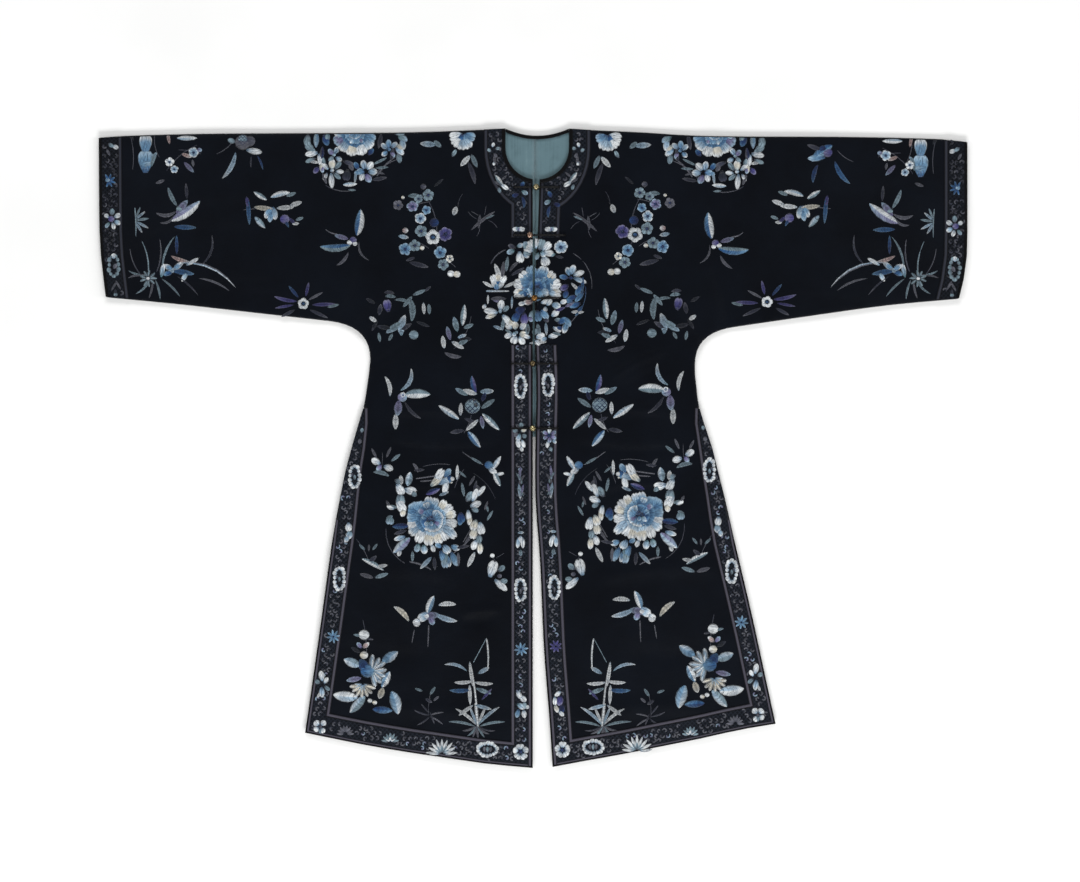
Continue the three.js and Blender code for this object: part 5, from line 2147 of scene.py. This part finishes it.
def button_piece(number):
    """A brass ball cast with petals round its crown and a girdle, on a short shank."""
    low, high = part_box(f"button_{number}")
    radius = (high.x - low.x) / 2
    centre = centre_of(f"button_{number}")
    middle = Vector((centre.x, centre.y, high.z - radius))
    points = [middle - Vector((0, 0, radius))]
    for i in range(1, BALL_RINGS):
        slope = math.pi * i / BALL_RINGS
        for k in range(BALL_SIDES):
            angle = 2 * math.pi * k / BALL_SIDES
            petals = PETAL_DEPTH * (abs(math.cos(4 * angle)) - 1) * math.sin(slope) ** 2
            girdle = -GIRDLE_DEPTH * math.exp(-(((slope - math.pi / 2) / GIRDLE_WIDTH) ** 2))
            reach = radius * (1 + petals + girdle)
            flat = Vector((math.cos(angle), math.sin(angle), 0)) * math.sin(slope)
            points.append(middle + reach * (flat - Vector((0, 0, math.cos(slope)))))
    points.append(middle + Vector((0, 0, radius)))
    faces = []
    last = 1 + (BALL_RINGS - 2) * BALL_SIDES
    for k in range(BALL_SIDES):
        onward = (k + 1) % BALL_SIDES
        faces.append((0, 1 + onward, 1 + k))
        for here in range(1, last, BALL_SIDES):
            above = here + BALL_SIDES
            faces.append((here + k, here + onward, above + onward, above + k))
        faces.append((last + k, last + onward, len(points) - 1))
    foot = Vector((middle.x, middle.y, STRAP_BASE))
    shank, sides = tube([foot, foot * 0.5 + middle * 0.5, middle], SHANK_RADIUS, SHANK_SIDES)
    faces += shifted(sides, len(points))
    points += shank
    points = np.array([tuple(p) for p in points])
    points[:, 2] += float(lift(middle.x, middle.y))
    brass = brass_material(f"brass_{number}", *BRASSES[number - 1])
    piece = mesh_piece(f"button_{number}_ball", points, faces, brass)
    stands_for(piece, "button", f"button_{number}")


for fastening in (strap_piece, loop_piece, button_piece):
    for number in range(1, len(BRASSES) + 1):
        fastening(number)

# ---------------------------------------------------------------- floor, lights and camera

VIEW_WIDTH = 1.2451 * (cad_high.x - cad_low.x)  # the picture's width on the floor
VIEW_RIGHT, VIEW_UP = 11.5 * MM, 12.0 * MM  # the picture's middle, from the jacket's
CAMERA_HEIGHT = 4.2
SENSOR = 36.0  # mm
FLOOR_HALF = 9.0
ROOM_COLOUR, ROOM_STRENGTH = (0.93, 0.96, 1.0, 1), 0.1
LIGHTS = [
    # name, place, width and length, watts: in metres
    ("key", (-0.5, 4.0, 2.5), (3.6, 1.4), 110),
    ("left", (-4.0, -0.2, 2.3), (1.6, 3.2), 66),
    ("right", (4.0, 0.0, 2.3), (1.6, 3.2), 92),
    ("front", (0.3, -4.0, 2.5), (3.4, 1.4), 228),
]


def area_light(name, place, size, watts):
    """A soft light, turned to the middle of the floor."""
    data = bpy.data.lights.new(name, "AREA")
    data.shape = "RECTANGLE"
    data.size, data.size_y = size
    data.energy = watts
    light = placed(name, data)
    light.location = place
    light.rotation_euler = (-Vector(place)).to_track_quat("-Z", "Y").to_euler()


def floor_material():
    nodes = Nodes("floor_paper")
    cloudy = nodes.noise(nodes.scaled(), 3.0, 3.0)
    colour = nodes.ramp(cloudy, [(0.3, linear("F2F2F1")), (0.7, linear("F7F7F6"))])
    return nodes.finish(colour, 0.9, Specular_IOR_Level=0.1)


def studio():
    corners = [(x * FLOOR_HALF, y * FLOOR_HALF, 0) for x, y in ((-1, -1), (1, -1), (1, 1), (-1, 1))]
    floor = mesh_piece("floor", corners, [(0, 1, 2, 3)], floor_material(), smooth=False)
    world = bpy.data.worlds.new("studio")
    world.use_nodes = True
    background = world.node_tree.nodes["Background"]
    background.inputs["Color"].default_value = ROOM_COLOUR
    background.inputs["Strength"].default_value = ROOM_STRENGTH
    scene = bpy.context.scene
    scene.world = world
    scene.view_settings.view_transform = "Standard"
    for light in LIGHTS:
        area_light(*light)
    data = bpy.data.cameras.new("camera")
    data.sensor_width = SENSOR
    data.lens = SENSOR * CAMERA_HEIGHT / VIEW_WIDTH
    camera = placed("camera", data)
    middle = (cad_low + cad_high) / 2
    camera.location = (middle.x + VIEW_RIGHT, middle.y + VIEW_UP, CAMERA_HEIGHT)
    scene.camera = camera


studio()
